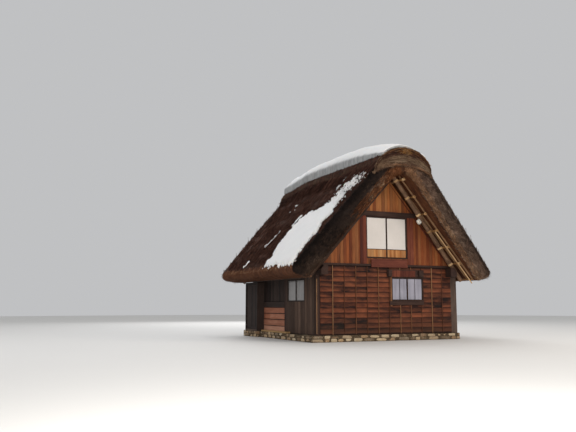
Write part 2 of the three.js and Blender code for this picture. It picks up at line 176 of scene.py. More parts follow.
# Dusty, weathered faces send back less of the sky than clean ones, hence the low level of gloss
def newMaterial(name, roughness, ior=1.5, gloss=0.22, others=()):
    material = bpy.data.materials.new(name)
    material.use_nodes = True
    shader = material.node_tree.nodes["Principled BSDF"]
    levels = {"Roughness": roughness, "IOR": ior, "Specular IOR Level": gloss, **dict(others)}
    for key, value in levels.items():
        shader.inputs[key].default_value = value
    return material, material.node_tree


# Links a material's colour and the height of its grain, whose reach is in metres
def finishMaterial(material, colour, height=None, reach=0.0, strength=1.0):
    tree = material.node_tree
    shader = tree.nodes["Principled BSDF"]
    tree.links.new(colour, shader.inputs["Base Color"])
    if height:
        bump = addNode(tree, "Bump", Height=height, Distance=reach, Strength=strength)
        tree.links.new(bump, shader.inputs["Normal"])
    return material


# The ways to mix two colours
plainly = {"data_type": "RGBA", "blend_type": "MIX"}
darkly = {"data_type": "RGBA", "blend_type": "MULTIPLY"}
softly = {"data_type": "RGBA", "blend_type": "SOFT_LIGHT"}


# Sawn softwood: growth lines run with the board, and the tone changes from one board to the next.
# Real growth lines lie 2 to 4 mm apart; lineMm is as coarse as they need to be to show.
# Boards carry their own grain map; a timber of the frame says which axis its grain follows.
def woodMaterial(name, look, axis):
    material, tree = newMaterial(name, 0.78, 1.52)
    if axis:
        turn = {"x": (0, 0, 0), "y": (0, 0, math.radians(-90)), "z": (0, math.radians(90), 0)}[axis]
        grain = addNode(tree, "Mapping", addNode(tree, "TexCoord", out="Object"), Rotation=turn)
    else:
        grain = addNode(tree, "UVMap", uv_map="grain")
    across = 1000 / look.get("lineMm", 14)
    spots = [addNode(tree, "Mapping", grain, Scale=scale) for scale in (
        (1.3, across, across), (1.1, across / 5, across / 5), (1.6, 4.5, 4.5))]
    lines = addNode(tree, "TexNoise", spots[0], 1, 5, 0.62, Distortion=0.35)
    figure = addNode(tree, "TexNoise", spots[1], 1, 3, 0.5, Distortion=1.2)
    stain = addNode(tree, "TexNoise", spots[2], 1, 4, 0.6)
    tone = addNode(tree, "Attribute", attribute_name="tone", out="Fac")
    value = weigh(tree, (lines, 0.45), (figure, 0.35), (stain, 0.4), (tone, look.get("spread", 0.5)),
                  plus=-look["shift"], held=True)
    if "crown" in look or "foot" in look:
        height = addNode(tree, "SeparateXYZ", addNode(tree, "TexCoord", out="Object"), out="Z")
    if "crown" in look:  # painted light: lighter from 4.4 m up, standing in for light where the roof shades the gable's top
        value = weigh(tree, (value, 1), (weigh(tree, (height, 1), plus=-4.4, held=True), look["crown"]))
    colour = addNode(tree, "ValToRGB", value, stops=evenly(look["colours"], 0.08, 0.92))
    if "other" in look:  # some boards lean to a second hue
        pick = addNode(tree, "TexWhiteNoise", tone, noise_dimensions="1D")
        colour = addNode(tree, "Mix", weigh(tree, (pick, 0.6)), colour, look["other"], **softly)
    if "wornAndLitLip" in look:  # the lower half of a board is rubbed lighter, partly worn and partly a painted highlight where light catches the lip; the part under the next lap is painted dark as painted shadow
        edge = addNode(tree, "Attribute", attribute_name="edge", out="Fac")
        patch = weigh(tree, (stain, 2.2), (tone, 0.66), plus=-0.99)
        colour = addNode(tree, "Mix", weigh(tree, (edge, patch), held=True), colour, look["wornAndLitLip"], **plainly)
        dark = weigh(tree, (edge, -2.2), plus=0.88, held=True)
        colour = addNode(tree, "Mix", dark, colour, look["colours"][0], **plainly)
    if "foot" in look:  # splashed and mossy near the ground
        low = weigh(tree, (height, -1.0), plus=1.0, held=True)
        wet = weigh(tree, (low, weigh(tree, (stain, 1), plus=0.3)), held=True)
        colour = addNode(tree, "Mix", wet, colour, look["foot"], **plainly)
    return finishMaterial(material, colour, weigh(tree, (lines, 1), (figure, 1)), 0.0035)


finishes = {
    # Cedar siding under old oil: red-brown and patchy, bowed boards worn lighter where they stand out, with
    # a painted highlight along each lower lip and painted shadow under each lap
    "oiledCedarSiding": {
        "colours": ["#0d0503", "#230f09", "#3f2014", "#5a3320", "#7a4b31"], "other": "#8a4420",
        "wornAndLitLip": "#874b2f", "foot": "#211c13", "spread": 0.55, "shift": 0.42, "lineMm": 11,
    },
    # Upright cedar boards of the gable: warmer and less worn, each with its own tone, and painted lighter
    # towards the top as painted light
    "uprightGableCedar": {
        "colours": ["#3a2012", "#6b3f24", "#8d5a34", "#ac7645"], "other": "#a8662c", "spread": 0.42,
        "shift": 0.3, "lineMm": 16, "crown": 0.16,
    },
    # Older, redder boards beside the upper window and along the rafters
    "redJambBoards": {
        "colours": ["#24100b", "#482016", "#663323", "#7f4932"], "spread": 0.4, "shift": 0.28, "lineMm": 16,
    },
    # Boards of the shaded side: grey-brown with age
    "agedSideBoards": {
        "colours": ["#130e0c", "#231a17", "#362a25", "#4c3d36"], "other": "#4a3a2c",
        "shift": 0.3, "lineMm": 15,
    },
    # Upright boards at the shaded corner: browner and lighter
    "cornerBoards": {
        "colours": ["#231914", "#3d2d24", "#554136", "#705b4c"], "other": "#4e4430",
        "shift": 0.3, "lineMm": 15,
    },
    # Wide level boards of the low side wall: dry, red-brown and scuffed
    "levelWallBoards": {
        "colours": ["#3c241b", "#714a39", "#996a54", "#bd937c"], "other": "#a5765a",
        "shift": 0.28, "lineMm": 17,
    },
    # Thin nailing battens: tan where the oil has washed off
    "paleBatten": {
        "colours": ["#2c170f", "#54311f", "#7a5538", "#987553"], "spread": 0.6, "shift": 0.34, "lineMm": 9,
    },
    # Bare pine panels and planks
    "barePinePanel": {
        "colours": ["#6b4526", "#966a42", "#b58a5c", "#caa57a"], "other": "#a87a4c", "spread": 0.4,
        "shift": 0.32, "lineMm": 15,
    },
    # Timbers of the frame: beams, posts, shaded boards, the walls behind the siding, planks, the signboard
    "smokedBeam": {"colours": ["#1a100c", "#30201a", "#483229", "#64493b"], "shift": 0.2},
    "silveredPost": {"colours": ["#2c211b", "#4a3b33", "#6b594d", "#8c7969"], "shift": 0.2},
    "shadedBoard": {"colours": ["#120d0b", "#211916", "#332823", "#463932"], "shift": 0.22},
    "sidingBacking": {"colours": ["#150b08", "#27130e", "#3a1e15", "#523020"], "shift": 0.24},
    "plainPlank": {"colours": ["#6a5036", "#99794f", "#b8966a", "#d0b48a"], "shift": 0.2},
    "redBoard": {"colours": ["#3a1a12", "#5a2c20", "#77402f", "#8f5842"], "shift": 0.22},
}
woods = {}


def wood(finish, axis=None):
    name = f"{finish}_{axis}" if axis else finish
    if name not in woods:
        woods[name] = woodMaterial(name, finishes[finish], axis)
    return woods[name]


# Water reed after many winters: nearly black in the hollows, brown on the ridges of its courses, a little
# moss; the cut ends at the verges and eaves are browner, and the inner lip is clean straw
def thatchMaterial():
    material, tree = newMaterial("weatheredReedThatch", 0.92, 1.45)
    grain = addNode(tree, "UVMap", uv_map="grain")
    place = addNode(tree, "TexCoord", out="Object")
    deep, verge, eave, under, damp = [addNode(tree, "Attribute", attribute_name=mark, out="Fac")
                                      for mark in ("deep", "verge", "eave", "under", "damp")]
    # The bed's reeds are drawn 17 mm wide, as finer ones don't show in the render; its strands 60 mm
    fine = addNode(tree, "Mapping", grain, Scale=(2.2, 60, 1))
    coarse = addNode(tree, "Mapping", grain, Scale=(1.3, 17, 1))
    reedLines = addNode(tree, "TexNoise", fine, 1, 6, 0.72, Distortion=0.4)
    strands = addNode(tree, "TexNoise", coarse, 1, 5, 0.7, Distortion=0.6)
    patches = addNode(tree, "TexNoise", place, 1.3, 5, 0.6)
    moss = addNode(tree, "TexNoise", place, 2.4, 6, 0.7)
    stubs = addNode(tree, "TexNoise", place, 24, 5, 0.75)
    blotch = addNode(tree, "TexNoise", place, 2.6, 6, 0.75, Distortion=0.6)
    value = weigh(tree, (reedLines, 0.55), (strands, 0.55), (patches, 0.2), plus=-0.15, held=True)
    slope, eaves, lip = [addNode(tree, "ValToRGB", value, stops=stops) for stops in (
        {0.25: "#170d0a", 0.4: "#2d1b14", 0.52: "#462c21", 0.64: "#604134", 0.85: "#876351"},
        {0.3: "#26150e", 0.48: "#50301f", 0.62: "#754b32", 0.8: "#a17857"},
        {0.3: "#26140d", 0.48: "#55321f", 0.62: "#7f5132", 0.8: "#a8774c"},
    )]
    mossy = weigh(tree, (moss, 2.2), plus=-1.232, held=True)
    slope = addNode(tree, "Mix", mossy, slope, "#3a331c", **plainly)
    courses = weigh(tree, (deep, 1), (blotch, 0.35), plus=-0.175)
    ends = addNode(tree, "ValToRGB", courses, stops={
        0: "#2a1c15", 0.2: "#3a2920", 0.32: "#6c574b", 0.6: "#82695a", 0.86: "#93775f", 0.94: "#b09070",
        1: "#9a7655"})
    grit = weigh(tree, (stubs, 0.5), (blotch, 1.1), plus=-0.3, held=True)
    grit = addNode(tree, "ValToRGB", grit, stops={0.25: "#2e2521", 0.48: "#9c8f85", 0.66: "#ffffff"})
    ends = addNode(tree, "Mix", 0.95, ends, grit, **darkly)
    # painted shade: the damp mark darkens the verges' cut ends, on the left front nearly to black
    wet = weigh(tree, (damp, weigh(tree, (blotch, 1), plus=0.35)), held=True)
    ends = addNode(tree, "Mix", wet, ends, "#150e0c", **plainly)
    colour = addNode(tree, "Mix", verge, slope, ends, **plainly)
    colour = addNode(tree, "Mix", eave, colour, eaves, **plainly)
    colour = addNode(tree, "Mix", under, colour, lip, **plainly)
    return finishMaterial(material, colour, weigh(tree, (reedLines, 1), (stubs, verge)), 0.03, 0.9)


# Bundled straw and bark of the ridge: layered, mossy on top, with golden straw left in the upper rim
def capMaterial():
    material, tree = newMaterial("layeredRidgeStraw", 0.93, 1.45)
    place = addNode(tree, "TexCoord", out="Object")
    deep, front, turn = [addNode(tree, "Attribute", attribute_name=mark, out="Fac")
                         for mark in ("deep", "verge", "turn")]
    # Straws are drawn 17 mm wide, as finer ones don't show
    stalks = addNode(tree, "Mapping", addNode(tree, "UVMap", uv_map="grain"), Scale=(2.5, 60, 1))
    straw = addNode(tree, "TexNoise", stalks, 1, 6, 0.7, Distortion=0.4)
    stubs = addNode(tree, "TexNoise", place, 22, 5, 0.75)
    blotch = addNode(tree, "TexNoise", place, 3.2, 5, 0.65)
    bands = addNode(tree, "ValToRGB", weigh(tree, (deep, 1), (blotch, 0.16), plus=-0.08), stops={
        0: "#6c563c", 0.08: "#845f40", 0.13: "#3a2118", 0.19: "#8a5536", 0.25: "#241310", 0.31: "#6e4a3a",
        0.38: "#4f372d", 0.46: "#8a7763", 0.58: "#9c8a72", 0.63: "#746354", 0.7: "#95826d", 0.82: "#836f5d",
        0.93: "#9c775b", 1: "#5c3e2d"})
    mauve = weigh(tree, (weigh(tree, (turn, -4.0), plus=1.52, held=True), 0.6))
    bands = addNode(tree, "Mix", mauve, bands, "#674a45", **plainly)
    grit = weigh(tree, (stubs, 0.8), (blotch, 0.5), plus=-0.15, held=True)
    grit = addNode(tree, "ValToRGB", grit, stops={0.2: "#4a413c", 0.45: "#b5a99e", 0.7: "#ffffff"})
    bands = addNode(tree, "Mix", 0.8, bands, grit, **darkly)
    bed = addNode(tree, "CombineXYZ", weigh(tree, (turn, 7.0)), weigh(tree, (deep, 17.0)))
    layers = addNode(tree, "TexNoise", bed, 1, 4, 0.6, Distortion=0.5)
    layers = addNode(tree, "ValToRGB", layers, stops={0.36: "#5a4a42", 0.5: "#c4b8ae", 0.6: "#ffffff"})
    bands = addNode(tree, "Mix", 0.85, bands, layers, **darkly)
    top = addNode(tree, "ValToRGB", weigh(tree, (straw, 0.55), (blotch, 0.5)), stops={
        0.3: "#1b120d", 0.45: "#35261c", 0.58: "#4d3c2b", 0.75: "#6b583f"})
    colour = addNode(tree, "Mix", front, top, bands, **plainly)
    return finishMaterial(material, colour, weigh(tree, (stubs, 1), (straw, 1)), 0.03, 0.9)


# The tones that stalks take, from the hollows to the dry tips
stalkTones = {
    "slopeReeds": ["#150b08", "#2f1b14", "#4e3127", "#745041", "#a17b67"],
    "vergeReeds": ["#211713", "#44342c", "#6b574a", "#917a69", "#b89f8a"],
    # painted shade: darker tones for the reeds and lip of the shaded left front verge
    "paintedShadeVergeReeds": ["#060403", "#130d0b", "#271b16", "#49392f", "#80695a"],
    "lipStraw": ["#34211a", "#60412f", "#8c6448", "#b18a68", "#cfb08e"],
    "paintedShadeLipStraw": ["#24130b", "#4c2c1a", "#7a4a2c", "#a06c46", "#b98a62"],
    "eaveReeds": ["#1a0e0a", "#40261b", "#6b4630", "#996d4f", "#ceaa8a"],
    "capStraw": ["#1c110c", "#422b20", "#6e5544", "#987c61", "#c0a484"],
    "goldenStraw": ["#4a2c16", "#7c4e27", "#a5713b", "#c39a62", "#dcbd8a"],
}


# Single reeds and straws: each its own tone from smoke brown to gold
def stalkMaterial(name, codes):
    material, tree = newMaterial(name, 0.8, 1.45)
    tone = addNode(tree, "Attribute", attribute_name="tone", out="Fac")
    wear = addNode(tree, "TexNoise", addNode(tree, "TexCoord", out="Object"), 6, 5, 0.65)
    value = weigh(tree, (tone, 0.75), (wear, 0.5), plus=-0.14, held=True)
    return finishMaterial(material, addNode(tree, "ValToRGB", value, stops=evenly(codes)))


# Peeled logs: long soft lines and darker blotches, dull with smoke. The lines are drawn 24 mm wide to show.
def logMaterial(name, codes, spread=0.5):
    material, tree = newMaterial(name, 0.72)
    grain = addNode(tree, "UVMap", uv_map="grain")
    fine, coarse = [addNode(tree, "Mapping", grain, Scale=scale) for scale in ((1.6, 42, 1), (1.7, 5, 1))]
    lines = addNode(tree, "TexNoise", fine, 1, 5, 0.6, Distortion=0.5)
    blotch = addNode(tree, "TexNoise", coarse, 1, 4, 0.6)
    tone = addNode(tree, "Attribute", attribute_name="tone", out="Fac")
    value = weigh(tree, (lines, 0.45), (blotch, 0.45), (tone, spread), plus=-0.25, held=True)
    colour = addNode(tree, "ValToRGB", value, stops=evenly(codes, 0.1, 0.9))
    return finishMaterial(material, colour, lines, 0.005)


# Field stones: tan and grey with lichen, rough as broken
def stoneMaterial():
    material, tree = newMaterial("splitFieldStone", 0.88, 1.55)
    place = addNode(tree, "TexCoord", out="Object")
    tone = addNode(tree, "Attribute", attribute_name="tone", out="Fac")
    grit = addNode(tree, "TexNoise", place, 34, 6, 0.7)  # broken faces of 30 mm
    blotch = addNode(tree, "TexNoise", place, 6, 5, 0.6)
    lichen = addNode(tree, "TexNoise", place, 11, 6, 0.8)
    value = weigh(tree, (grit, 0.35), (blotch, 0.4), (tone, 0.5), plus=-0.15, held=True)
    colour = addNode(tree, "ValToRGB", value, stops={
        0.15: "#4d4436", 0.35: "#857460", 0.5: "#a59176", 0.65: "#b5a68c", 0.85: "#cdc2ac"})
    pick = addNode(tree, "TexWhiteNoise", tone, noise_dimensions="1D")
    colour = addNode(tree, "Mix", weigh(tree, (pick, 0.5)), colour, "#a67a48", **softly)
    crusted = weigh(tree, (lichen, 5.0), plus=-2.8, held=True)
    colour = addNode(tree, "Mix", crusted, colour, "#b5b19a", **plainly)
    return finishMaterial(material, colour, weigh(tree, (grit, 1), (blotch, 1)), 0.02)


# Earth packed between the stones
def earthMaterial():
    material, tree = newMaterial("packedEarth", 0.95, 1.45)
    # Clods of 40 mm
    grit = addNode(tree, "TexNoise", addNode(tree, "TexCoord", out="Object"), 24, 7, 0.75)
    colour = addNode(tree, "ValToRGB", grit, stops={0.3: "#2a221a", 0.5: "#4d4030", 0.7: "#766450"})
    return finishMaterial(material, colour, grit, 0.02)


# Settled snow: grains scatter light inside it, so edges glow; steep faces, such as the shaded side of the
# ridge bank, are painted grey with streaks as painted shade
def snowMaterial():
    scatter = {"Subsurface Weight": 0.25, "Subsurface Radius": (0.06, 0.08, 0.1)}
    material, tree = newMaterial("settledSnow", 0.62, 1.31, 0.5, scatter)
    place = addNode(tree, "TexCoord", out="Object")
    drift = addNode(tree, "TexNoise", place, 2.2, 4, 0.5)
    streaks = addNode(tree, "Mapping", place, Scale=(3.0, 7.0, 1.6))
    sideStreaks = addNode(tree, "TexNoise", streaks, 1, 6, 0.7)
    grains = addNode(tree, "TexNoise", place, 60, 3, 0.7)  # lumps of 17 mm, as single grains don't show
    steep = addNode(tree, "Attribute", attribute_name="steep", out="Fac")
    # painted shade: steep faces are painted grey, streaked
    paintedSideShade = weigh(tree, (weigh(tree, (sideStreaks, 1), plus=0.4), steep), held=True)
    colour = addNode(tree, "Mix", paintedSideShade, "#e9e8e6", "#6f706e", **plainly)
    colour = addNode(tree, "Mix", weigh(tree, (drift, 0.35)), colour, "#d6d7d9", **plainly)
    return finishMaterial(material, colour, weigh(tree, (grains, 1), (sideStreaks, 2.0)), 0.012, 0.6)


# Kozo paper behind plain panes: matt, warm white, with faint fibres
def paperMaterial():
    material, tree = newMaterial("pastedWindowPaper", 0.6, 1.5, 0.5)
    place = addNode(tree, "TexCoord", out="Object")
    fine = addNode(tree, "Mapping", place, Scale=(30, 30, 9))  # 30 mm wide, as real fibres don't show
    fibres = addNode(tree, "TexNoise", fine, 1, 6, 0.7)
    damp = addNode(tree, "TexNoise", place, 1.4, 3, 0.5)
    colour = addNode(tree, "ValToRGB", weigh(tree, (fibres, 0.4), (damp, 0.6)), stops={
        0.3: "#c6c0ba", 0.5: "#cdc7c1", 0.7: "#d3cdc8"})
    return finishMaterial(material, colour, fibres, 0.0015)


# Window glass with a white blind close behind it: grey-lilac, smooth, reflects the sky
def glassMaterial(name, codes):
    material, tree = newMaterial(name, 0.22, 1.5, 0.5, {"Coat Weight": 0.5, "Coat Roughness": 0.06})
    place = addNode(tree, "TexCoord", out="Object")
    tall = addNode(tree, "Mapping", place, Scale=(9, 9, 0.7))
    folds = addNode(tree, "TexNoise", tall, 1, 4, 0.5)
    haze = addNode(tree, "TexNoise", place, 2, 3, 0.5)
    value = weigh(tree, (folds, 0.6), (haze, 0.4))
    colour = addNode(tree, "ValToRGB", value, stops=evenly(codes, 0.35, 0.65))
    return finishMaterial(material, colour, haze, 0.002, 0.3)


# Twisted rice-straw rope: pale, with darker patches 17 mm wide, as finer straws don't show
def ropeMaterial():
    material, tree = newMaterial("twistedStrawRope", 0.85, 1.45)
    fine = addNode(tree, "Mapping", addNode(tree, "UVMap", uv_map="grain"), Scale=(60, 60, 1))
    twist = addNode(tree, "TexNoise", fine, 1, 3, 0.55)
    tone = addNode(tree, "Attribute", attribute_name="tone", out="Fac")
    colour = addNode(tree, "ValToRGB", weigh(tree, (twist, 0.5), (tone, 0.5)), stops={
        0.15: "#6b4d32", 0.4: "#b38a5c", 0.7: "#dfbd90"})
    return finishMaterial(material, colour, twist, 0.004)


# Opal polycarbonate of the lamp: moulded, smooth, a little yellowed
def lampMaterial():
    material, tree = newMaterial("mouldedOpalCover", 0.35, 1.58, 0.5)
    grime = addNode(tree, "TexNoise", addNode(tree, "TexCoord", out="Object"), 14, 5, 0.6)
    colour = addNode(tree, "ValToRGB", grime, stops={0.35: "#a8a294", 0.6: "#dedad0"})
    return finishMaterial(material, colour)


# Meshes are gathered as heaps of points and faces, with a grain map, a tone for each face and marks

def newHeap():
    return {"points": [], "faces": [], "grain": [], "tone": [], "edge": []}


# A direction and two more square to it
def sideways(along):
    along = along.normalized()
    helper = Vector((0, 0, 1)) if abs(along.z) < 0.9 else Vector((1, 0, 0))
    one = along.cross(helper).normalized()
    return along, one, along.cross(one)


def addSolid(heap, points, faces, along, tone, rng, edges=()):
    along, one, two = sideways(along)
    across = one + two
    shiftU = rng.uniform(0, 40)
    shiftV = rng.uniform(0, 40)
    base = len(heap["points"])
    heap["points"] += points
    heap["edge"] += edges
    for face in faces:
        heap["faces"].append(tuple(base + i for i in face))
        heap["tone"].append(tone)
        heap["grain"] += [(points[i].dot(along) + shiftU, points[i].dot(across) + shiftV) for i in face]


slabFaces = [(0, 1, 2, 3), (7, 6, 5, 4), (0, 4, 5, 1), (1, 5, 6, 2), (2, 6, 7, 3), (3, 7, 4, 0)]


# A board from the four corners of its outer face, low left first as seen from outside
def addSlab(heap, corners, inward, along, tone, rng):
    addSolid(heap, corners + [corner + inward for corner in corners], slabFaces, along, tone, rng)


# Faces between rings of points, and a cap at each end; turned is for rings that run the other way round
def tubeFaces(rings, sides, turned=False):
    quads = []
    for r in range(rings):
        for s in range(sides):
            a = r * sides + s
            b = r * sides + (s + 1) % sides
            quads.append((a, a + sides, b + sides, b) if turned else (a, b, b + sides, a + sides))
    ends = [tuple(reversed(range(sides))), tuple(rings * sides + s for s in range(sides))]
    return quads + [end[::-1] if turned else end for end in ends]


# A round pole of rings, with its own taper, that swells at its knots
def addPole(heap, start, end, radius, rng, sides, rings, taper=0.0, tone=None, knots=()):
    along, one, two = sideways(end - start)
    phase = rng.uniform(0, 50)
    points = []
    for r in range(rings + 1):
        share = r / rings
        spine = start.lerp(end, share)
        size = radius * (1 - taper * share)
        for knot in knots:
            size += radius * 0.22 * math.exp(-((share - knot) * rings * 2.2) ** 2)
        for s in range(sides):
            turn = 2 * math.pi * s / sides
            u, v = math.cos(turn), math.sin(turn)
            wobble = 1 + 0.06 * noise.noise(Vector((u, v, share * rings * 0.5 + phase)))
            points.append(spine + (one * u + two * v) * size * wobble)
    addSolid(heap, points, tubeFaces(rings, sides), along, rng.random() if tone is None else tone, rng)


# Rope wound round a pole in close turns
def addCoil(heap, centre, along, radius, rope, rng):
    coil = {"turns": 4, "steps": 14, "sides": 5, "pitch": 2.1}
    along, one, two = sideways(along)
    count = coil["turns"] * coil["steps"]
    points = []
    for i in range(count + 1):
        turn = 2 * math.pi * i / coil["steps"]
        out = one * math.cos(turn) + two * math.sin(turn)
        rise = (i / count - 0.5) * coil["turns"] * rope * coil["pitch"]
        spine = centre + along * rise + out * (radius + rope * 0.7)
        for s in range(coil["sides"]):
            angle = 2 * math.pi * s / coil["sides"]
            points.append(spine + (out * math.cos(angle) + along * math.sin(angle)) * rope)
    addSolid(heap, points, tubeFaces(count, coil["sides"], True), along, rng.random(), rng)


# Stalks, many at once: each a thin closed spike from a start to its tip, with its own tone
def stalks(starts, tips, radius, tones):
    along = tips - starts
    along /= np.linalg.norm(along, axis=1)[:, None] + 1e-9
    helper = np.where(np.abs(along[:, 2:3]) < 0.9, [[0.0, 0.0, 1.0]], [[1.0, 0.0, 0.0]])
    one = np.cross(along, helper)
    one /= np.linalg.norm(one, axis=1)[:, None]
    two = np.cross(along, one)
    ring = [starts + (one * math.cos(t) + two * math.sin(t)) * radius[:, None] for t in (0, 2.094, 4.189)]
    return np.stack(ring + [tips], axis=1), np.clip(tones, 0, 1)


# One random tone for each cell of a grid, read at shares from 0 to 1, so that stalks stand in clumps
def clumpsAt(rng, cells, *shares):
    grid = rng.random(cells)
    return grid[tuple((share * (count - 0.1)).astype(int) for share, count in zip(shares, cells))]


def addMark(mesh, name, values, domain="POINT"):
    mesh.attributes.new(name, "FLOAT", domain).data.foreach_set("value", np.array(values, np.float32))


def placePiece(name, mesh, material, body="house", replaced=()):
    mesh.materials.append(material)
    piece = bpy.data.objects.new(name, mesh)
    bpy.context.scene.collection.objects.link(piece)
    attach(piece, body)
    if replaced:
        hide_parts(*replaced)
    return piece


def layStalks(name, bundles, finish):
    points = np.concatenate([spikes for spikes, _ in bundles]).reshape(-1, 3)
    count = len(points) // 4
    pattern = np.array([[2, 1, 0], [0, 1, 3], [1, 2, 3], [2, 0, 3]])
    corners = (np.arange(count)[:, None, None] * 4 + pattern[None]).reshape(-1)
    mesh = bpy.data.meshes.new(name)
    mesh.vertices.add(len(points))
    mesh.vertices.foreach_set("co", points.astype(np.float32).ravel())
    mesh.loops.add(len(corners))
    mesh.loops.foreach_set("vertex_index", corners.astype(np.int32))
    mesh.polygons.add(count * 4)
    mesh.polygons.foreach_set("loop_start", np.arange(0, len(corners), 3, dtype=np.int32))
    mesh.update(calc_edges=True)
    addMark(mesh, "tone", np.repeat(np.concatenate([tones for _, tones in bundles]), 4), "FACE")
    placePiece(name, mesh, stalkMaterial(name, stalkTones[finish]))
    print(name, count)


def roundEdges(piece, width, segments, angle):
    rounding = piece.modifiers.new("roundedEdges", "BEVEL")
    rounding.width = width
    rounding.segments = segments
    rounding.limit_method = "ANGLE"
    rounding.angle_limit = math.radians(angle)


def makePiece(name, heap, material, body="house", bevel=0.0, smooth=0.0, replaced=(), marks=None):
    mesh = bpy.data.meshes.new(name)
    mesh.from_pydata([tuple(p) for p in heap["points"]], [], heap["faces"])
    mesh.uv_layers.new(name="grain").uv.foreach_set("vector", np.array(heap["grain"], np.float32).ravel())
    if heap["tone"]:
        addMark(mesh, "tone", heap["tone"], "FACE")
    if heap["edge"]:
        addMark(mesh, "edge", heap["edge"])
    for mark, values in (marks or {}).items():
        addMark(mesh, mark, values)
    if smooth:
        mesh.shade_smooth()
        mesh.set_sharp_from_angle(angle=math.radians(smooth))
    piece = placePiece(name, mesh, material, body, replaced)
    if bevel:
        roundEdges(piece, bevel, 1, 40)
    return piece


# The outside of a block of cells; place(a, b, c) bends the unit block into its shape
def blockShell(steps, place):
    na, nb, nc = steps
    index = {}
    points = []
    shares = []
    faces = []

    def addFace(turned, *spots):
        for spot in spots:
            if spot not in index:
                index[spot] = len(points)
                shares.append((spot[0] / na, spot[1] / nb, spot[2] / nc))
                points.append(place(*shares[-1]))
        face = tuple(index[spot] for spot in spots)
        faces.append(face[::-1] if turned else face)

    for k in (0, nc):
        for i in range(na):
            for j in range(nb):
                addFace(k > 0, (i, j, k), (i, j + 1, k), (i + 1, j + 1, k), (i + 1, j, k))
    for j in (0, nb):
        for i in range(na):
            for k in range(nc):
                addFace(j > 0, (i, j, k), (i + 1, j, k), (i + 1, j, k + 1), (i, j, k + 1))
    for i in (0, na):
        for j in range(nb):
            for k in range(nc):
                addFace(i > 0, (i, j, k), (i, j, k + 1), (i, j + 1, k + 1), (i, j + 1, k))
    return points, faces, shares


# Rounds the corners of a shell, pushes its points out by amount(point, normal, share) and turns all its
# faces outwards
def weather(points, faces, shares, rounds, amount):
    mesh = bmesh.new()
    corners = [mesh.verts.new(p) for p in points]
    for face in faces:
        mesh.faces.new([corners[i] for i in face])
    bmesh.ops.recalc_face_normals(mesh, faces=mesh.faces)
    for _ in range(rounds):
        bmesh.ops.smooth_vert(
            mesh, verts=mesh.verts, factor=0.5, use_axis_x=True, use_axis_y=True, use_axis_z=True)
    mesh.normal_update()
    mesh.verts.index_update()
    normals = [v.normal.copy() for v in mesh.verts]
    moved = [v.co + v.normal * amount(v.co, v.normal, share) for v, share in zip(mesh.verts, shares)]
    turned = [tuple(v.index for v in face.verts) for face in mesh.faces]
    mesh.free()
    return moved, turned, normals


# A piece from a bent block; grainAt and each of the marks take (share, point, normal)
def makeShell(name, steps, place, rounds, amount, material, smooth, replaced, grainAt, marks):
    points, faces, shares = blockShell(steps, place)
    points, faces, normals = weather(points, faces, shares, rounds, amount)
    spots = list(zip(shares, points, normals))
    grain = [grainAt(*spot) for spot in spots]
    grain = [grain[i] for face in faces for i in face]
    heap = {**newHeap(), "points": points, "faces": faces, "grain": grain}
    values = {mark: [valueAt(*spot) for spot in spots] for mark, valueAt in marks.items()}
    makePiece(name, heap, material, smooth=smooth, replaced=[replaced], marks=values)
    print(name, len(points))


def buildCamera():
    setup = {"place": (-14.43, -25.1745, 1.403), "lens": 41.875, "sensor": 36, "tilt": 7.482, "turn": 24.735}
    data = bpy.data.cameras.new("photoCamera")
    data.sensor_width = setup["sensor"]
    data.lens = setup["lens"]
    camera = bpy.data.objects.new("photoCamera", data)
    camera.location = setup["place"]
    camera.rotation_euler = (math.radians(90 + setup["tilt"]), 0, math.radians(-setup["turn"]))
    bpy.context.scene.collection.objects.link(camera)
    bpy.context.scene.camera = camera
    print("camera")


# Thatch slopes: a thick bed of reed with rounded, ragged edges

nosePoints = np.array(roof["nose"])
noseSteps = np.r_[0, np.cumsum(np.linalg.norm(np.diff(nosePoints, axis=0), axis=1))]
noseShares = noseSteps / noseSteps[-1]


# A place in the thatch: down the slope, through its thickness from the outside, and from front to back.
# The outer edge of each verge is trimmed back a little, as a roll.
def roofPoint(side, down, deep, back):
    noseX, noseZ = [np.interp(deep, noseShares, nosePoints[:, axis]) for axis in (0, 1)]
    outerTop = roof["outerApex"] - roof["outerRise"] * cap["half"]
    innerTop = roof["innerApex"] - roof["innerRise"] * cap["meet"]
    x = mix(mix(cap["half"], cap["meet"], deep), noseX, down)
    z = mix(mix(outerTop, innerTop, deep), noseZ, down)
    roll = roof["roll"] * (1 - np.sqrt(1 - np.clip(1 - deep / 0.4, 0, 1) ** 2 * 0.98))
    y = mix(frontVerge(z) + roll, backVerge(z) - roll, back)
    return np.stack([side * x, y, z - ridgeSag(y) * (1 - deep) * (1 - down) ** 2], axis=-1)


# From 0 to 1 as a face turns to look along the ridge
def facesEnd(normal):
    return ease((abs(normal.y) - 0.35) / 0.4)


# Painted shade on the verges: the shaded left front verge is painted nearly black outside and lighter along
# its inner lip; the other verges only a little darker, most at their outer part
def paintedVergeShade(side, down, deep, back):
    if side > 0 or back > 0.5:
        return 0.12 + 0.3 * ease((0.3 - deep) / 0.2)
    lip = ease((deep - 0.45) / 0.25) * ease((0.5 - down) / 0.3)
    lip += 0.25 * ease((down - 0.78) / 0.1) * ease((deep - 0.4) / 0.3)
    return np.clip(1.2 - 1.1 * lip, 0, 1)


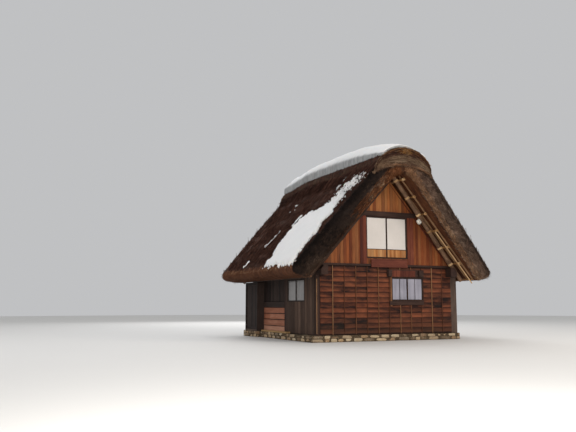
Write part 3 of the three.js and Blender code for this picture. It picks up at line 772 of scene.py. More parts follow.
def buildThatch(material):
    cells = (120, 16, 160)  # down the slope, through it, and from front to back
    for name, side, seed in (("left", -1, 3.7), ("right", 1, 8.2)):
        def amount(point, normal, share):
            a, b, c = share
            if a < 0.02 and b > 0.1:
                return 0.0
            down = a * roof["length"]
            push = 0.028 * lumps(point, 0.9, seed) + 0.012 * lumps(point, 0.22, seed)
            if abs(normal.y) > 0.6:  # the cut ends at the verges
                push += 0.03 * lumps((down, b, 0), (0.35, 0.1, 1), seed)
                push += 0.016 * lumps((down, b, 0), (0.09, 0.04, 1), seed + c)
            elif a > 0.985:  # the eave
                push += 0.022 * lumps((point.y, b, 0), (0.1, 0.5, 1), seed)
                push += 0.012 * lumps((point.y, b, 0), (0.045, 0.2, 1), seed)
            elif b < 0.5:  # the courses of the outer face
                push += 0.016 * lumps((down, point.y, 0), (0.8, 0.09, 1), seed)
                push += 0.006 * math.sin(down * 9 + 1.5 * lumps(point, 0.7, seed))
            else:
                push += 0.01 * lumps((down, point.y, 0), (0.7, 0.05, 1), seed)
            return push

        def isUnder(share, point, normal):
            a, b, c = share
            return 1.0 if b > 0.97 and a < 0.98 and 0.015 < c < 0.985 and abs(normal.y) < 0.5 else 0.0

        marks = {
            "deep": lambda s, p, n: s[1],
            "verge": lambda s, p, n: facesEnd(n),
            "eave": lambda s, p, n: ease((s[0] - 0.975) / 0.02) * (1 - facesEnd(n)),
            "under": isUnder,
            "damp": lambda s, p, n: paintedVergeShade(side, *s),
        }
        makeShell(
            f"reed_slope_{name}", cells, lambda a, b, c: Vector(roofPoint(side, a, b, c)), 3, amount,
            material, 60, f"thatch_{name}",
            lambda s, p, n: (s[0] * roof["length"], p.y if abs(n.y) < 0.6 else p.y + s[1]), marks)


# The ways down a slope's outer face and straight out of it
def slopeWays(side):
    lean = np.array([side * math.cos(outerTilt), 0, -math.sin(outerTilt)])
    return lean, np.array([side * math.sin(outerTilt), 0, math.cos(outerTilt)])


# Loose reed ends that stand out of the cut faces. Real reeds are 5 to 8 mm thick; these are drawn at 10 to
# 26 mm, as coarse as it takes for so few to cover the thatch.
def buildReedEnds():
    # How many of each kind stand on each face, how far they stray, their lengths and radii
    kinds = {
        "slope": {"count": 17000, "stray": 0.09, "length": (0.12, 0.5), "radius": (0.005, 0.011)},
        "eave": {"count": 7000, "stray": 0.13, "length": (0.01, 0.055), "radius": (0.006, 0.012)},
        "verge": {"count": 7000, "stray": 0.35, "length": (0.08, 0.3), "radius": (0.006, 0.013)},
        "lip": {"count": 4200, "stray": 0.12, "length": (0.1, 0.34), "radius": (0.005, 0.01)},
    }

    def draw(kind, what, *shape):
        return rng.uniform(*kinds[kind][what], shape)

    for name, side, seed in (("left", -1, 11), ("right", 1, 12)):
        rng = np.random.default_rng(seed)
        lean, out = slopeWays(side)

        n = kinds["slope"]["count"]
        down, back = rng.random(n) ** 0.9, rng.random(n)
        clumps = clumpsAt(rng, (60, 170), down, back)
        spot = roofPoint(side, down, 0.0, back)
        way = lean + rng.normal(0, kinds["slope"]["stray"], (n, 3))
        length = draw("slope", "length", n, 1)
        tips = spot + way * length * 0.25 + out * rng.uniform(0.006, 0.034, (n, 1))
        slope = stalks(spot - way * length * 0.75 - out * 0.02, tips, draw("slope", "radius", n),
                       0.5 * clumps + 0.4 * rng.random(n))
        layStalks(f"slope_reeds_{name}", [slope], "slopeReeds")

        n = kinds["eave"]["count"]
        deep, back = rng.random(n) ** 0.85, rng.random(n)
        rim = deep < 0.12  # longer and paler along the upper rim
        spot = roofPoint(side, 1.0, deep, back)
        way = lean + rng.normal(0, kinds["eave"]["stray"], (n, 3))
        reach = draw("eave", "length", n, 1) * (1 + 1.2 * rim[:, None])
        clumps = clumpsAt(rng, (160, 5), back, deep)
        radius = draw("eave", "radius", n)
        tone = 0.4 * clumps + 0.3 * rng.random(n) + 0.3 * (1 - deep) * rng.random(n) + 0.35 * rim - 0.05
        eave = stalks(spot - way * 0.12, spot + way * reach, radius, tone)
        layStalks(f"eave_reeds_{name}", [eave], "eaveReeds")

        for end, back, face in (("front", 0.0, -1), ("back", 1.0, 1)):
            outward = np.array([0, face, 0])
            # wet marks the shaded left front verge, whose reeds and lip are painted darker as painted shade
            wet = side < 0 and end == "front"

            def paintedSeamShade(spot):  # painted shade: dark where both slopes meet under the cap
                return ease((0.17 - np.abs(spot[:, 0])) / 0.12)

            n = kinds["verge"]["count"]
            down, deep = rng.random(n), rng.random(n)
            spot = roofPoint(side, down, deep, back)
            way = lean + out * rng.normal(0, kinds["verge"]["stray"], (n, 1))
            way = way + outward * rng.uniform(0.0, 0.3, (n, 1))
            length = draw("verge", "length", n, 1)
            clumps = clumpsAt(rng, (70, 9), down, deep)
            radius = draw("verge", "radius", n)
            # painted shade: darker on the left front verge and in the seam at the apex
            tone = 0.5 * clumps - 0.1 * wet + 0.35 * rng.random(n) + 0.2 * (deep > 0.3) - 0.05
            tone += 0.3 * ease((down - 0.7) / 0.2) * ease((deep - 0.35) / 0.4) - 0.4 * paintedSeamShade(spot)
            foot = spot - way * length * 0.6 - outward * 0.02
            verge = stalks(foot, spot + way * length * 0.4 + outward * 0.012, radius, tone)
            finish = "paintedShadeVergeReeds" if wet else "vergeReeds"
            layStalks(f"verge_reeds_{end}_{name}", [verge], finish)

            n = kinds["lip"]["count"]
            high = 0.5 * rng.random(n) ** (1.3 if wet else 2.6)
            down = np.where(rng.random(n) < (0.9 if wet else 0.45), high, rng.random(n))
            crest = ease((0.22 - down) / 0.2)  # near the apex the lip swells into a loose fringe
            tuft = 0.16 * crest + 0.16 * ease((0.08 - down) / 0.06)
            width = np.where(down < 0.5, 0.42, 0.16) if wet else 0.26 + 0.2 * crest
            deep = 1 - width * rng.random(n) ** 1.7
            spot = roofPoint(side, down, deep, back) - out * (tuft * rng.random(n))[:, None]
            way = lean + rng.normal(0, kinds["lip"]["stray"], (n, 3))
            droop = rng.uniform(0, 0.12, n) + 0.5 * crest * rng.random(n)
            way = way - out * droop[:, None] + outward * 0.05
            length = draw("lip", "length", n, 1)
            # painted shade: the left front lip is darker lower down, and the seam at the apex is dark
            paintedLipShade = (np.clip((down - 0.3) * 1.2, 0, 0.5) if wet else -0.08) + 0.45 * paintedSeamShade(spot)
            lip = stalks(spot - way * length * 0.7, spot + way * length * 0.3, draw("lip", "radius", n),
                         0.2 + 0.55 * rng.random(n) - paintedLipShade)
            finish = "paintedShadeLipStraw" if wet else "lipStraw"
            layStalks(f"lip_straw_{end}_{name}", [lip], finish)
    print("reed ends are in")


# Ridge cap: straw and bark bent over the ridge in layers

def capArc(x):
    rise = cap["crown"] - cap["spring"]
    radius = (cap["half"] ** 2 + rise ** 2) / (2 * rise)
    return cap["crown"] - radius + np.sqrt(radius ** 2 - x * x)


def capSurface(x):
    share = np.clip(np.abs(x) / cap["half"], 0.0, 1.0)
    return cap["shoulder"] + (cap["top"] - cap["shoulder"]) * (1 - share ** 2) ** cap["roundness"]


# A place in the cap: over it from left to right, through its thickness, and from front to back
def capPoint(turn, deep, back):
    x = cap["half"] * np.cos(math.pi * (1 - turn))
    z = mix(capSurface(x), capArc(x), deep)
    y = mix(frontVerge(z) - cap["frontReach"], backVerge(z) + cap["backReach"], back)
    return np.stack([x, y, z - ridgeSag(y) * (1 - deep)], axis=-1)


def capWay(turn, deep, back):
    way = capPoint(turn + 0.01, deep, back) - capPoint(turn - 0.01, deep, back)
    return way / np.linalg.norm(way, axis=1)[:, None]


def buildRidgeCap(material):
    # How far each layer stands out of the cap's ends, by depth
    layers = {0: 0.03, 0.13: 0.035, 0.16: -0.03, 0.2: 0.015, 0.24: -0.02, 0.3: 0.012, 0.36: -0.008,
              0.42: 0.008, 0.6: 0.0, 0.64: 0.012, 0.85: 0.0, 0.93: 0.02, 1: 0.0}

    def amount(point, normal, share):
        a, b, c = share
        over = a * cap["arcLength"]
        push = 0.025 * lumps(point, (0.6, 0.9, 0.6), 5.1) + 0.012 * lumps(point, 0.16, 2.2)
        if abs(normal.y) > 0.6:
            wavy = b + 0.04 * lumps((a, 0, c), (0.08, 1, 1), 1.3)
            push += float(np.interp(wavy, list(layers), list(layers.values())))
            return push + 0.02 * lumps((over, b, c), (0.12, 0.08, 1), 9.1)
        return push + 0.012 * lumps((over, point.y, 0), (0.5, 0.06, 1), 7.7)

    makeShell(
        "ridge_straw_cap", (72, 20, 150), lambda a, b, c: Vector(capPoint(a, b, c)), 2, amount,
        material, 60, "ridge_cap", lambda s, p, n: (s[0] * cap["arcLength"], p.y),
        {"deep": lambda s, p, n: s[1], "turn": lambda s, p, n: s[0], "verge": lambda s, p, n: facesEnd(n)})


# Straw that stands out of the cap's ends and edges, drawn as coarse as the reeds
def buildCapStraw():
    # How many of each kind stand on each face, how far they stray, their lengths and radii
    kinds = {
        "strata": {"count": 6000, "stray": 0.14, "length": (0.06, 0.3), "radius": (0.006, 0.014)},
        "golden": {"count": 300, "stray": 0.35, "length": (0.03, 0.085), "radius": (0.006, 0.012)},
        "hanging": {"count": 900, "stray": 0.3, "length": (0.02, 0.09), "radius": (0.005, 0.01)},
        "skirt": {"count": 4600, "stray": 0.05, "length": (0.15, 0.45), "radius": (0.006, 0.013)},
        "top": {"count": 3200, "stray": 0.08, "length": (0.08, 0.3), "radius": (0.006, 0.012)},
    }
    # The strata's shade by depth
    shades = {0: 0.25, 0.08: 0.3, 0.13: -0.3, 0.19: 0.15, 0.25: -0.35, 0.32: -0.05, 0.45: 0.2, 1: 0.25}
    rng = np.random.default_rng(21)

    def stray(kind):
        return rng.normal(0, kinds[kind]["stray"], (kinds[kind]["count"], 3))

    def draw(kind, what, *shape):
        return rng.uniform(*kinds[kind][what], shape)

    strata, golden, skirt = [], [], []
    for back, face in ((0.0, -1), (1.0, 1)):
        outward = np.array([0, face, 0])
        n = kinds["strata"]["count"]
        turn, deep = rng.uniform(0.02, 0.98, n), rng.random(n)
        spot = capPoint(turn, deep, back)
        way = capWay(turn, deep, back) * rng.choice([-1, 1], (n, 1)) + stray("strata") + outward * 0.12
        length = draw("strata", "length", n, 1)
        clumps = clumpsAt(rng, (24, 14), turn, deep)
        radius = draw("strata", "radius", n)
        shade = np.interp(deep, list(shades), list(shades.values()))
        tone = shade + 0.55 * clumps + 0.3 * rng.random(n) - 0.1
        foot = spot - way * length * 0.6 - outward * 0.02
        strata.append(stalks(foot, spot + way * length * 0.4 + outward * 0.016, radius, tone))

        n = kinds["golden"]["count"]  # pulled out of the rim near the middle, and a little on the right
        turn = np.where(rng.random(n) < 0.75, rng.normal(0.52, 0.05, n), rng.uniform(0.4, 0.85, n))
        spot = capPoint(turn, rng.uniform(0.03, 0.3, n), back)
        way = outward * 0.9 + np.array([0, 0, -0.8]) + stray("golden")
        tips = spot + way * draw("golden", "length", n, 1)
        golden.append(stalks(spot - way * 0.05, tips, draw("golden", "radius", n), rng.random(n)))

        n = kinds["hanging"]["count"]  # the ragged lower rim of the cap
        spot = capPoint(rng.uniform(0.05, 0.95, n), 0.97, back)
        way = np.array([0, 0, -1.0]) + outward * 0.1 + stray("hanging")
        tips = spot + way * draw("hanging", "length", n, 1)
        strata.append(stalks(spot - way * 0.08, tips, draw("hanging", "radius", n),
                             0.2 + 0.4 * rng.random(n)))
    layStalks("ridge_straw_strata", strata, "capStraw")
    layStalks("ridge_golden_straw", golden, "goldenStraw")

    for side in (-1, 1):
        out = slopeWays(side)[1]
        n = kinds["skirt"]["count"]  # runs from the cap down over its edge, so that no step shows
        back, share = rng.random(n), rng.random(n)
        top = capPoint(np.where(side > 0, 0.93, 0.07) + rng.uniform(-0.035, 0.035, n), 0.0, back)
        foot = roofPoint(side, 0.02 + 0.11 * share, 0.0, np.clip(back, 0.01, 0.985))
        foot = foot + out * rng.uniform(0.0, 0.05, (n, 1))
        start = top + (foot - top) * (0.75 * rng.random((n, 1)) - 0.1)
        way = foot - top
        way = way / np.linalg.norm(way, axis=1)[:, None] + stray("skirt")
        length = draw("skirt", "length", n, 1)
        clumps = clumpsAt(rng, (150,), back)
        tips = start + way * length + out * 0.015
        skirt.append(stalks(start - out * 0.015, tips, draw("skirt", "radius", n),
                            0.5 * clumps + 0.35 * rng.random(n)))

        n = kinds["top"]["count"]  # lies along the upper face
        turn = rng.uniform(0.52, 0.97, n) if side > 0 else rng.uniform(0.03, 0.48, n)
        back = rng.random(n)
        spot = capPoint(turn, 0.0, back)
        way = side * capWay(turn, 0.0, back)
        up = np.cross(way, np.array([0, side, 0]))
        length = draw("top", "length", n, 1)
        way = way + stray("top")
        tips = spot + way * length * 0.3 - up * 0.018
        skirt.append(stalks(spot - way * length * 0.7 + up * 0.015, tips, draw("top", "radius", n),
                            0.2 + 0.5 * rng.random(n)))
    layStalks("ridge_straw_skirt", skirt, "slopeReeds")


# Snow: a bank on the ridge and a thin sheet with a ragged rim on the left slope

def buildRidgeSnow(material):
    low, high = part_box("ridge_snow")
    bank = {"half": 0.98, "top": 7.85, "shoulder": 7.27, "bite": 0.01, "least": 0.04}
    # How full the bank is from its front to its back
    fills = {0: 0.16, 0.04: 0.36, 0.11: 0.62, 0.19: 0.8, 0.27: 0.93, 0.42: 1, 0.75: 0.98, 0.95: 0.96,
             0.98: 0.92, 0.99: 0.84, 1: 0.6}

    def place(a, b, c):
        x = bank["half"] * (2 * a - 1)
        bed = capSurface(x) - bank["bite"]
        crown = bank["top"] - (bank["top"] - bank["shoulder"]) * abs(x / bank["half"]) ** 2.4
        fill = float(np.interp(c, list(fills), list(fills.values())))
        fill *= 1 - 0.75 * ease((x - 0.1) / 0.5) * ease((0.42 - c) / 0.25)  # slid off the right front
        y = mix(low.y, high.y, c)
        top = bed + bank["least"] + (crown - bed - bank["least"]) * fill
        return Vector((x, y, mix(top, bed, b) - ridgeSag(y)))

    def amount(point, normal, share):
        if share[1] > 0.9:
            return 0.0
        push = 0.02 * lumps(point, (0.8, 1.4, 0.8), 4.4) + 0.012 * lumps(point, (0.22, 0.22, 0.3), 6.1)
        if abs(normal.x) > 0.5:
            push += 0.03 * lumps(point, (1, 0.14, 0.5), 1.7) + 0.03 * lumps(point, (1, 0.4, 0.8), 2.7)
        return push

    # steep marks the faces that the snow's finish paints grey as painted shade
    makeShell("ridge_snow_bank", (40, 8, 130), place, 4, amount, material, 80, "ridge_snow",
              lambda s, p, n: (p.y, p.z), {"steep": lambda s, p, n: ease((0.75 - n.z) / 0.5)})


def buildSlopeSnow(material):
    # Outline as distance down the outer face from its apex, and the place along Y
    outline = [
        (6.69, -1.19), (6.69, -3.74), (6.23, -3.64), (5.86, -3.49), (5.09, -3.64), (4.64, -3.47),
        (4.21, -3.60), (3.47, -3.46), (3.08, -3.50), (2.74, -3.72), (2.38, -3.95), (2.1, -3.97),
        (1.96, -3.6), (2.02, -3.05), (2.44, -2.75), (2.90, -2.62), (3.43, -2.62), (3.78, -2.09),
        (3.81, -1.44), (4.19, -0.96), (4.79, -0.84), (5.45, -0.82), (5.91, -1.01), (6.16, -1.34),
        (6.39, -1.06),
    ]
    # Wisps beside the sheet: distance down, place along Y, length and width
    wisps = [(2.35, -2.25, 0.32, 0.05), (6.4, 1.22, 0.14, 0.04), (5.0, 0.55, 0.42, 0.02),
             (4.1, -0.6, 0.25, 0.03), (3.1, 1.1, 0.2, 0.016)]
    sheet = {"cell": 0.025, "depth": 0.075, "rim": 0.14, "least": 0.02, "lip": 0.012, "under": -0.03,
             "brokenFrom": 3.9}
    cell = sheet["cell"]
    downs = np.arange(1.8, 6.85, cell)
    alongs = np.arange(-4.35, 1.6, cell)
    gridDown, gridAlong = np.meshgrid(downs, alongs, indexing="ij")

    # The distance to the sheet's rim, more than 0 inside it
    inside = np.zeros(gridDown.shape, bool)
    distance = np.full(gridDown.shape, 9.0)
    for (d0, y0), (d1, y1) in zip(outline, outline[1:] + outline[:1]):
        inside ^= ((y0 > gridAlong) != (y1 > gridAlong)) & (
            gridDown < (d1 - d0) * (gridAlong - y0) / (y1 - y0 + 1e-12) + d0)
        length = (d1 - d0) ** 2 + (y1 - y0) ** 2
        share = np.clip(((gridDown - d0) * (d1 - d0) + (gridAlong - y0) * (y1 - y0)) / length, 0, 1)
        gap = np.hypot(gridDown - d0 - share * (d1 - d0), gridAlong - y0 - share * (y1 - y0))
        distance = np.minimum(distance, gap)
    field = np.where(inside, distance, -distance)
    wild = np.ones(field.shape)
    for down, y, length, width in wisps:
        beyond = np.maximum(0, np.abs(gridDown - down) - length)
        gap = width - np.hypot(beyond, gridAlong - y - 0.25 * (gridDown - down))
        wild = np.where((gap > field) & (gap > -0.2), 0.4, wild)
        field = np.maximum(field, gap)
    for i, down in enumerate(downs):
        thin = ease(sheet["brokenFrom"] - down)
        for j, along in enumerate(alongs):
            if -0.42 < field[i, j] < 0.55:
                spot = (down, along, 0)
                rough = 0.17 * lumps(spot, (0.2, 0.08, 1), 3.3) - 0.14 * thin
                rough += (0.1 + 0.85 * thin) * lumps(spot, (0.12, 0.05, 1), 5.5)
                rough = (rough + 0.07 * lumps(spot, (0.06, 0.04, 1), 7.5)) * wild[i, j]
                # Holes rather than islands where the sheet is thin
                field[i, j] += rough if field[i, j] > 0 else rough * (1 - 0.6 * thin)
                field[i, j] -= 2.6 * thin * max(0.0, lumps(spot, (0.1, 0.045, 1), 9.9) - 0.03)

    # Grid points just outside the rim move onto it
    slopeDown, slopeAlong = np.gradient(field, cell)
    steepness = slopeDown ** 2 + slopeAlong ** 2 + 1e-6
    most = cell * 0.9
    moveDown, moveAlong = [np.where(field <= 0, np.clip(-field * slope / steepness, -most, most), 0)
                           for slope in (slopeDown, slopeAlong)]

    def spotOn(i, j, proud):
        down = gridDown[i, j] + moveDown[i, j]
        x = -(down * math.cos(outerTilt) + proud * math.sin(outerTilt))
        z = roof["outerApex"] - down * math.sin(outerTilt) + proud * math.cos(outerTilt)
        return Vector((x, gridAlong[i, j] + moveAlong[i, j], z))

    cells = [(i, j) for i in range(len(downs) - 1) for j in range(len(alongs) - 1)
             if field[i:i + 2, j:j + 2].max() > 0]
    used = sorted({(i + di, j + dj) for i, j in cells for di in (0, 1) for dj in (0, 1)})
    points = []
    for i, j in used:
        depth = sheet["depth"] * (1 - 0.45 * ease(sheet["brokenFrom"] - gridDown[i, j]))
        height = sheet["lip"]
        if field[i, j] > 0:
            height = sheet["least"] + depth * math.sqrt(ease(field[i, j] / sheet["rim"]))
            height += 0.012 * lumps((gridDown[i, j], gridAlong[i, j], 0), (0.3, 0.3, 1), 8.8)
        points.append(spotOn(i, j, height))
    points += [spotOn(i, j, sheet["under"]) for i, j in used]
    tops = {spot: k for k, spot in enumerate(used)}
    lows = {spot: k + len(used) for k, spot in enumerate(used)}
    kept = set(cells)
    faces = []
    for i, j in cells:
        ring = [(i, j), (i + 1, j), (i + 1, j + 1), (i, j + 1)]
        faces.append(tuple(tops[c] for c in ring))
        faces.append(tuple(lows[c] for c in reversed(ring)))
        for k, (di, dj) in enumerate(((0, -1), (1, 0), (0, 1), (-1, 0))):
            if (i + di, j + dj) not in kept:
                one, two = ring[k], ring[(k + 1) % 4]
                faces.append((tops[two], tops[one], lows[one], lows[two]))
    grain = [(points[i].y, points[i].z) for face in faces for i in face]
    heap = {**newHeap(), "points": points, "faces": faces, "grain": grain}
    makePiece("slope_snow_sheet", heap, material, smooth=70, replaced=["slope_snow"])
    print("slope snow", len(points))


# Poles under the thatch, with the ropes that lash them

def buildPoles():
    lattice = {"slim": 0.07, "purlin": 0.104, "bite": 0.008, "seat": 0.0003, "rung": 0.037, "rafter": 0.08,
               "overhang": 0.33, "rope": 0.011, "rafterRope": 0.01, "bamboo": 0.0245,
               "rafterOut": 0.13, "rafterLean": 0.1}
    slimPlaces = [y + house["front"] for y in (-0.56, -0.25, 0.7, 1.7, 2.7, 3.7, 4.7, 5.7, 6.45)]
    purlinEnds = {"front": house["front"] - 0.64, "back": house["front"] + 6.54}
    purlins = [0.62 + 0.84 * i for i in range(7)]
    slimDepth = lattice["seat"] + lattice["slim"] / 2
    purlinDepth = lattice["seat"] + lattice["slim"] - lattice["bite"] + lattice["purlin"] / 2
    rafterDepth = 2 * lattice["seat"] + roof["latticeDepth"] + lattice["rafter"]
    log = logMaterial("peeledRoofLog", ["#1c120d", "#3d291c", "#654630", "#8c6a4c", "#a98a68"])
    pale = logMaterial("scrapedPoleEnd", ["#6b4a2c", "#a2764a", "#cc9f6c", "#e6c595"], 0.4)
    stout = logMaterial("stoutVergeRafter", ["#1c110b", "#402c1f", "#876850", "#a98a6c", "#c4a686"], 0.3)
    rope = ropeMaterial()

    def rafterY(z, way):
        lean = lattice["rafterOut"] + lattice["rafterLean"] * (z - roof["eaveBottom"])
        return house["front" if way < 0 else "back"] + way * lean

    for name, side, seed in (("left", -1, 31), ("right", 1, 32)):
        rng = random.Random(seed)
        poles, rungs, ropes = newHeap(), newHeap(), newHeap()
        for down in purlins:
            z = underSlope(side, down, purlinDepth, 0).z
            front = min(purlinEnds["front"], rafterY(z, -1) - lattice["overhang"]) + rng.uniform(-0.03, 0.03)
            back = max(purlinEnds["back"], rafterY(z, 1) + lattice["overhang"]) + rng.uniform(-0.03, 0.03)
            start, end = [underSlope(side, down, purlinDepth, rafterY(z, way)) for way in (-1, 1)]
            addPole(poles, start, end, lattice["purlin"] / 2, rng, 10, 14, 0.04)
            for edge, tip, way in ((start, front, -1), (end, back, 1)):
                reach = underSlope(side, down, purlinDepth, tip)
                addPole(rungs, edge - Vector((0, way * 0.02, 0)), reach, lattice["rung"], rng, 10, 6, 0.12)
                if down < purlins[-1] and (side > 0 or way > 0):  # rope wound near the pole's end
                    addCoil(ropes, edge.lerp(reach, 0.84), Vector((0, 1, 0)), lattice["rung"] - 0.003,
                            lattice["rope"], rng)
        for y in slimPlaces:
            top, foot = [underSlope(side, down, slimDepth, y) for down in (0.48, 5.75)]
            addPole(poles, top, foot, lattice["slim"] / 2, rng, 8, 12)
        makePiece(f"roof_poles_{name}_peeled", poles, log, smooth=50,
                  replaced=[f"roof_poles_{name}"])
        # painted shade: the shaded left purlin ends take the dark log finish, the right ones the pale one
        makePiece(f"purlin_ends_{name}", rungs, pale if side > 0 else log, smooth=50)
        makePiece(f"pole_ropes_{name}", ropes, rope, smooth=50)
    for name, way, seed in (("front", -1, 41), ("back", 1, 42)):
        rng = random.Random(seed)
        rafters, ropes = newHeap(), newHeap()
        for side in (-1, 1):
            top, foot = [underSlope(side, down, rafterDepth, 0) for down in (0.25, 5.6)]
            for spot in (top, foot):
                spot.y = rafterY(spot.z, way)
            shaded = side < 0 and way < 0  # painted shade: the left front one takes a dark tone, and carries no rope
            addPole(rafters, top, foot, lattice["rafter"], rng, 14, 26, -0.05, 0.0 if shaded else 0.7,
                    [0.13, 0.37, 0.62, 0.81])
            along = (foot - top).normalized()
            for down in [] if shaded else purlins[:-1]:
                spot = top + along * (down - 0.25) * (foot - top).length / 5.35
                addCoil(ropes, spot - along * 0.085, along, lattice["rafter"] + 0.003,
                        lattice["rafterRope"], rng)
        makePiece(f"verge_rafters_{name}_peeled", rafters, stout, smooth=50,
                  replaced=[f"verge_rafters_{name}"])
        makePiece(f"verge_ropes_{name}", ropes, rope, smooth=50)
    culm = newHeap()
    depth = 2 * lattice["seat"] + roof["latticeDepth"] + 0.026
    top, foot = [underSlope(1, down, depth, house["front"] - 0.6) for down in (3.15, 5.8)]
    nodes = [0.06 + 0.11 * i for i in range(9)]
    addPole(culm, top, foot, lattice["bamboo"], random.Random(51), 12, 60, 0.1, 0.8, nodes)
    bamboo = logMaterial("driedBambooCulm", ["#8a6a44", "#b8946a", "#d9bd92", "#ead8b6"], 0.3)
    makePiece("bamboo_culm", culm, bamboo, smooth=60, replaced=["bamboo_pole"])
    print("poles and ropes")


# Boards on a wall: s runs to the right as seen from outside, z is the height, out is how far it stands proud

upright = Vector((0, 0, 1))
wallWays = {
    "front": (Vector((1, 0, 0)), Vector((0, -1, 0))),
    "back": (Vector((-1, 0, 0)), Vector((0, 1, 0))),
    "left": (Vector((0, -1, 0)), Vector((-1, 0, 0))),
    "right": (Vector((0, 1, 0)), Vector((1, 0, 0))),
}


# A wall that looks that way, and the place of its face on the axis that it looks along
def wallAt(way, place):
    along, out = wallWays[way]
    return {"at": Vector([abs(v) * place for v in out]), "along": along, "out": out}


walls = {way: wallAt(way, house[way]) for way in wallWays}


def onWall(wall, s, z, out):
    return wall["at"] + wall["along"] * s + wall["out"] * out + upright * z


# What is left of a rectangle (s0, s1, z0, z1) around the holes in a wall
def besideHoles(whole, holes):
    least = 0.015
    parts = [whole]
    for hole in holes:
        left = []
        for s0, s1, z0, z1 in parts:
            if hole[0] >= s1 or hole[1] <= s0 or hole[2] >= z1 or hole[3] <= z0:
                left.append((s0, s1, z0, z1))
                continue
            left += [(s0, hole[0], z0, z1), (hole[1], s1, z0, z1)]
            left += [(max(s0, hole[0]), min(s1, hole[1]), *ends) for ends in ((z0, hole[2]), (hole[3], z1))]
        parts = [p for p in left if p[1] - p[0] > least and p[3] - p[2] > least]
    return parts


# A bay of siding: nailed at both ends, it bows out in the middle, and its lower lip stands proud
def addBowed(heap, wall, part, outs, bow, thick, tone, rng):
    s0, s1, z0, z1 = part
    across, up = 5, 4
    # How strongly each height is painted, from the lip up: high values take the worn lighter colour and
    # painted highlight, low ones the painted shadow under the next lap
    wear = {0: 0.1, 0.08: 1.0, 0.3: 1.0, 0.45: 0.55, 0.8: 0.35, 1: 0.0}  # from the lip up
    drop = rng.uniform(0.002, 0.012)
    lean = rng.uniform(-0.005, 0.005)
    points = []
    edges = []
    for layer in (0, 1):
        for v in range(up + 1):
            rise = v / up
            for u in range(across + 1):
                swell = math.sin(math.pi * u / across)
                out = mix(outs[0], outs[1], rise) + bow * swell * math.sin(math.pi * (0.25 + 0.6 * rise))
                z = mix(z0 - drop * swell + lean * (2 * u / across - 1), z1, rise)
                points.append(onWall(wall, mix(s0, s1, u / across), z, out - layer * thick))
                edges.append(float(np.interp(rise, list(wear), list(wear.values()))))
    row = across + 1
    back = row * (up + 1)
    faces = []
    for v in range(up):
        for u in range(across):
            a = v * row + u
            faces.append((a, a + 1, a + row + 1, a + row))
            faces.append((back + a + row, back + a + row + 1, back + a + 1, back + a))
    rim = [*range(across)] + [v * row + across for v in range(up)]
    rim += [up * row + u for u in range(across, 0, -1)] + [v * row for v in range(up, 0, -1)]
    for one, two in zip(rim, rim[1:] + rim[:1]):
        faces.append((two, one, back + one, back + two))
    addSolid(heap, points, faces, wall["along"], tone, rng, edges)


def addLappedRows(heap, wall, span, height, holes, rng, firstJoint):
    lap = {"row": 0.2, "bay": 0.5, "longShare": 0.35, "over": 0.016, "proud": 0.033, "tucked": 0.013,
           "thick": 0.012, "gap": 0.002, "loose": (-0.006, 0.005), "bows": (0.001, 0.013)}
    rows = round((height[1] - height[0]) / lap["row"])
    row = (height[1] - height[0]) / rows
    for r in range(rows):
        z0 = height[0] + r * row
        s = span[0]
        tone = rng.random()
        while s < span[1] - 0.02:
            step = math.floor((s - firstJoint) / lap["bay"] + 1.0001) * lap["bay"] + firstJoint
            if rng.random() < lap["longShare"]:
                step += lap["bay"]
            nextS = min(step, span[1])
            tone = min(1, max(0, 0.35 * tone + 0.65 * rng.random() + rng.gauss(0, 0.08)))
            for a0, a1, b0, b1 in besideHoles((s + lap["gap"], nextS - lap["gap"], z0, z0 + row), holes):
                foot = b0 - (lap["over"] if b0 == z0 else 0.0)
                outs = (lap["proud"] + rng.uniform(*lap["loose"]), lap["tucked"])
                bow = rng.uniform(*lap["bows"]) * min(1, (a1 - a0) / lap["bay"])
                addBowed(heap, wall, (a0, a1, foot, b1 + 0.004), outs, bow, lap["thick"], tone, rng)
            s = nextS


# Upright boards side by side, cut at the top along topAt(s)
def addUprights(heap, wall, span, low, topAt, holes, rng, widths, out=0.02, thick=0.016, gap=0.003):
    s = span[0]
    while s < span[1] - 0.01:
        width = rng.uniform(*widths)
        nextS = s + width if s + width < span[1] - 0.06 else span[1]
        tone = rng.random()
        top, crest = sorted((topAt(s), topAt(nextS)))
        stand = out + rng.uniform(-0.003, 0.003)
        for a0, a1, b0, b1 in besideHoles((s + gap / 2, nextS - gap / 2, low, crest), holes):
            z0, z1 = (topAt(a0), topAt(a1)) if b1 >= crest - 1e-6 else (b1, b1)
            if min(z0, z1) - b0 < 0.01 and top - b0 < 0.01:
                z0, z1 = [max(z, b0 + 0.004) for z in (z0, z1)]
            corners = [onWall(wall, *spot, stand) for spot in ((a0, b0), (a1, b0), (a1, z1), (a0, z0))]
            addSlab(heap, corners, wall["out"] * -thick, upright, tone, rng)
        s = nextS


# A straight board whose outer face stands that far out
def addStrip(heap, wall, s0, s1, z0, z1, out, thick, rng, tone, along=upright):
    corners = [onWall(wall, *spot, out) for spot in ((s0, z0), (s1, z0), (s1, z1), (s0, z1))]
    addSlab(heap, corners, wall["out"] * -thick, along, tone, rng)


# Upright sticks over the whole height, and level ones between the first two; out is where their backs are
def addSash(heap, wall, height, uprights, levels, out, thicks, tones, rng):
    for s0, s1 in uprights:
        addStrip(heap, wall, s0, s1, *height, out + thicks[0], thicks[0], rng, rng.uniform(*tones))
    for z0, z1 in levels:
        addStrip(heap, wall, uprights[0][1], uprights[1][0], z0, z1, out + thicks[1], thicks[1], rng,
                 rng.uniform(*tones), wall["along"])


# Where a node lies on a wall, and how far it stands out of it
def holeOf(node, wall, margin=0.0):
    low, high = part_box(node)
    s0, s1 = sorted(wall["along"].dot(corner - wall["at"]) for corner in (low, high))
    return (s0 - margin, s1 + margin, low.z - margin, high.z + margin)


def proudOf(node, wall):
    return max(wall["out"].dot(corner - wall["at"]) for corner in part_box(node))


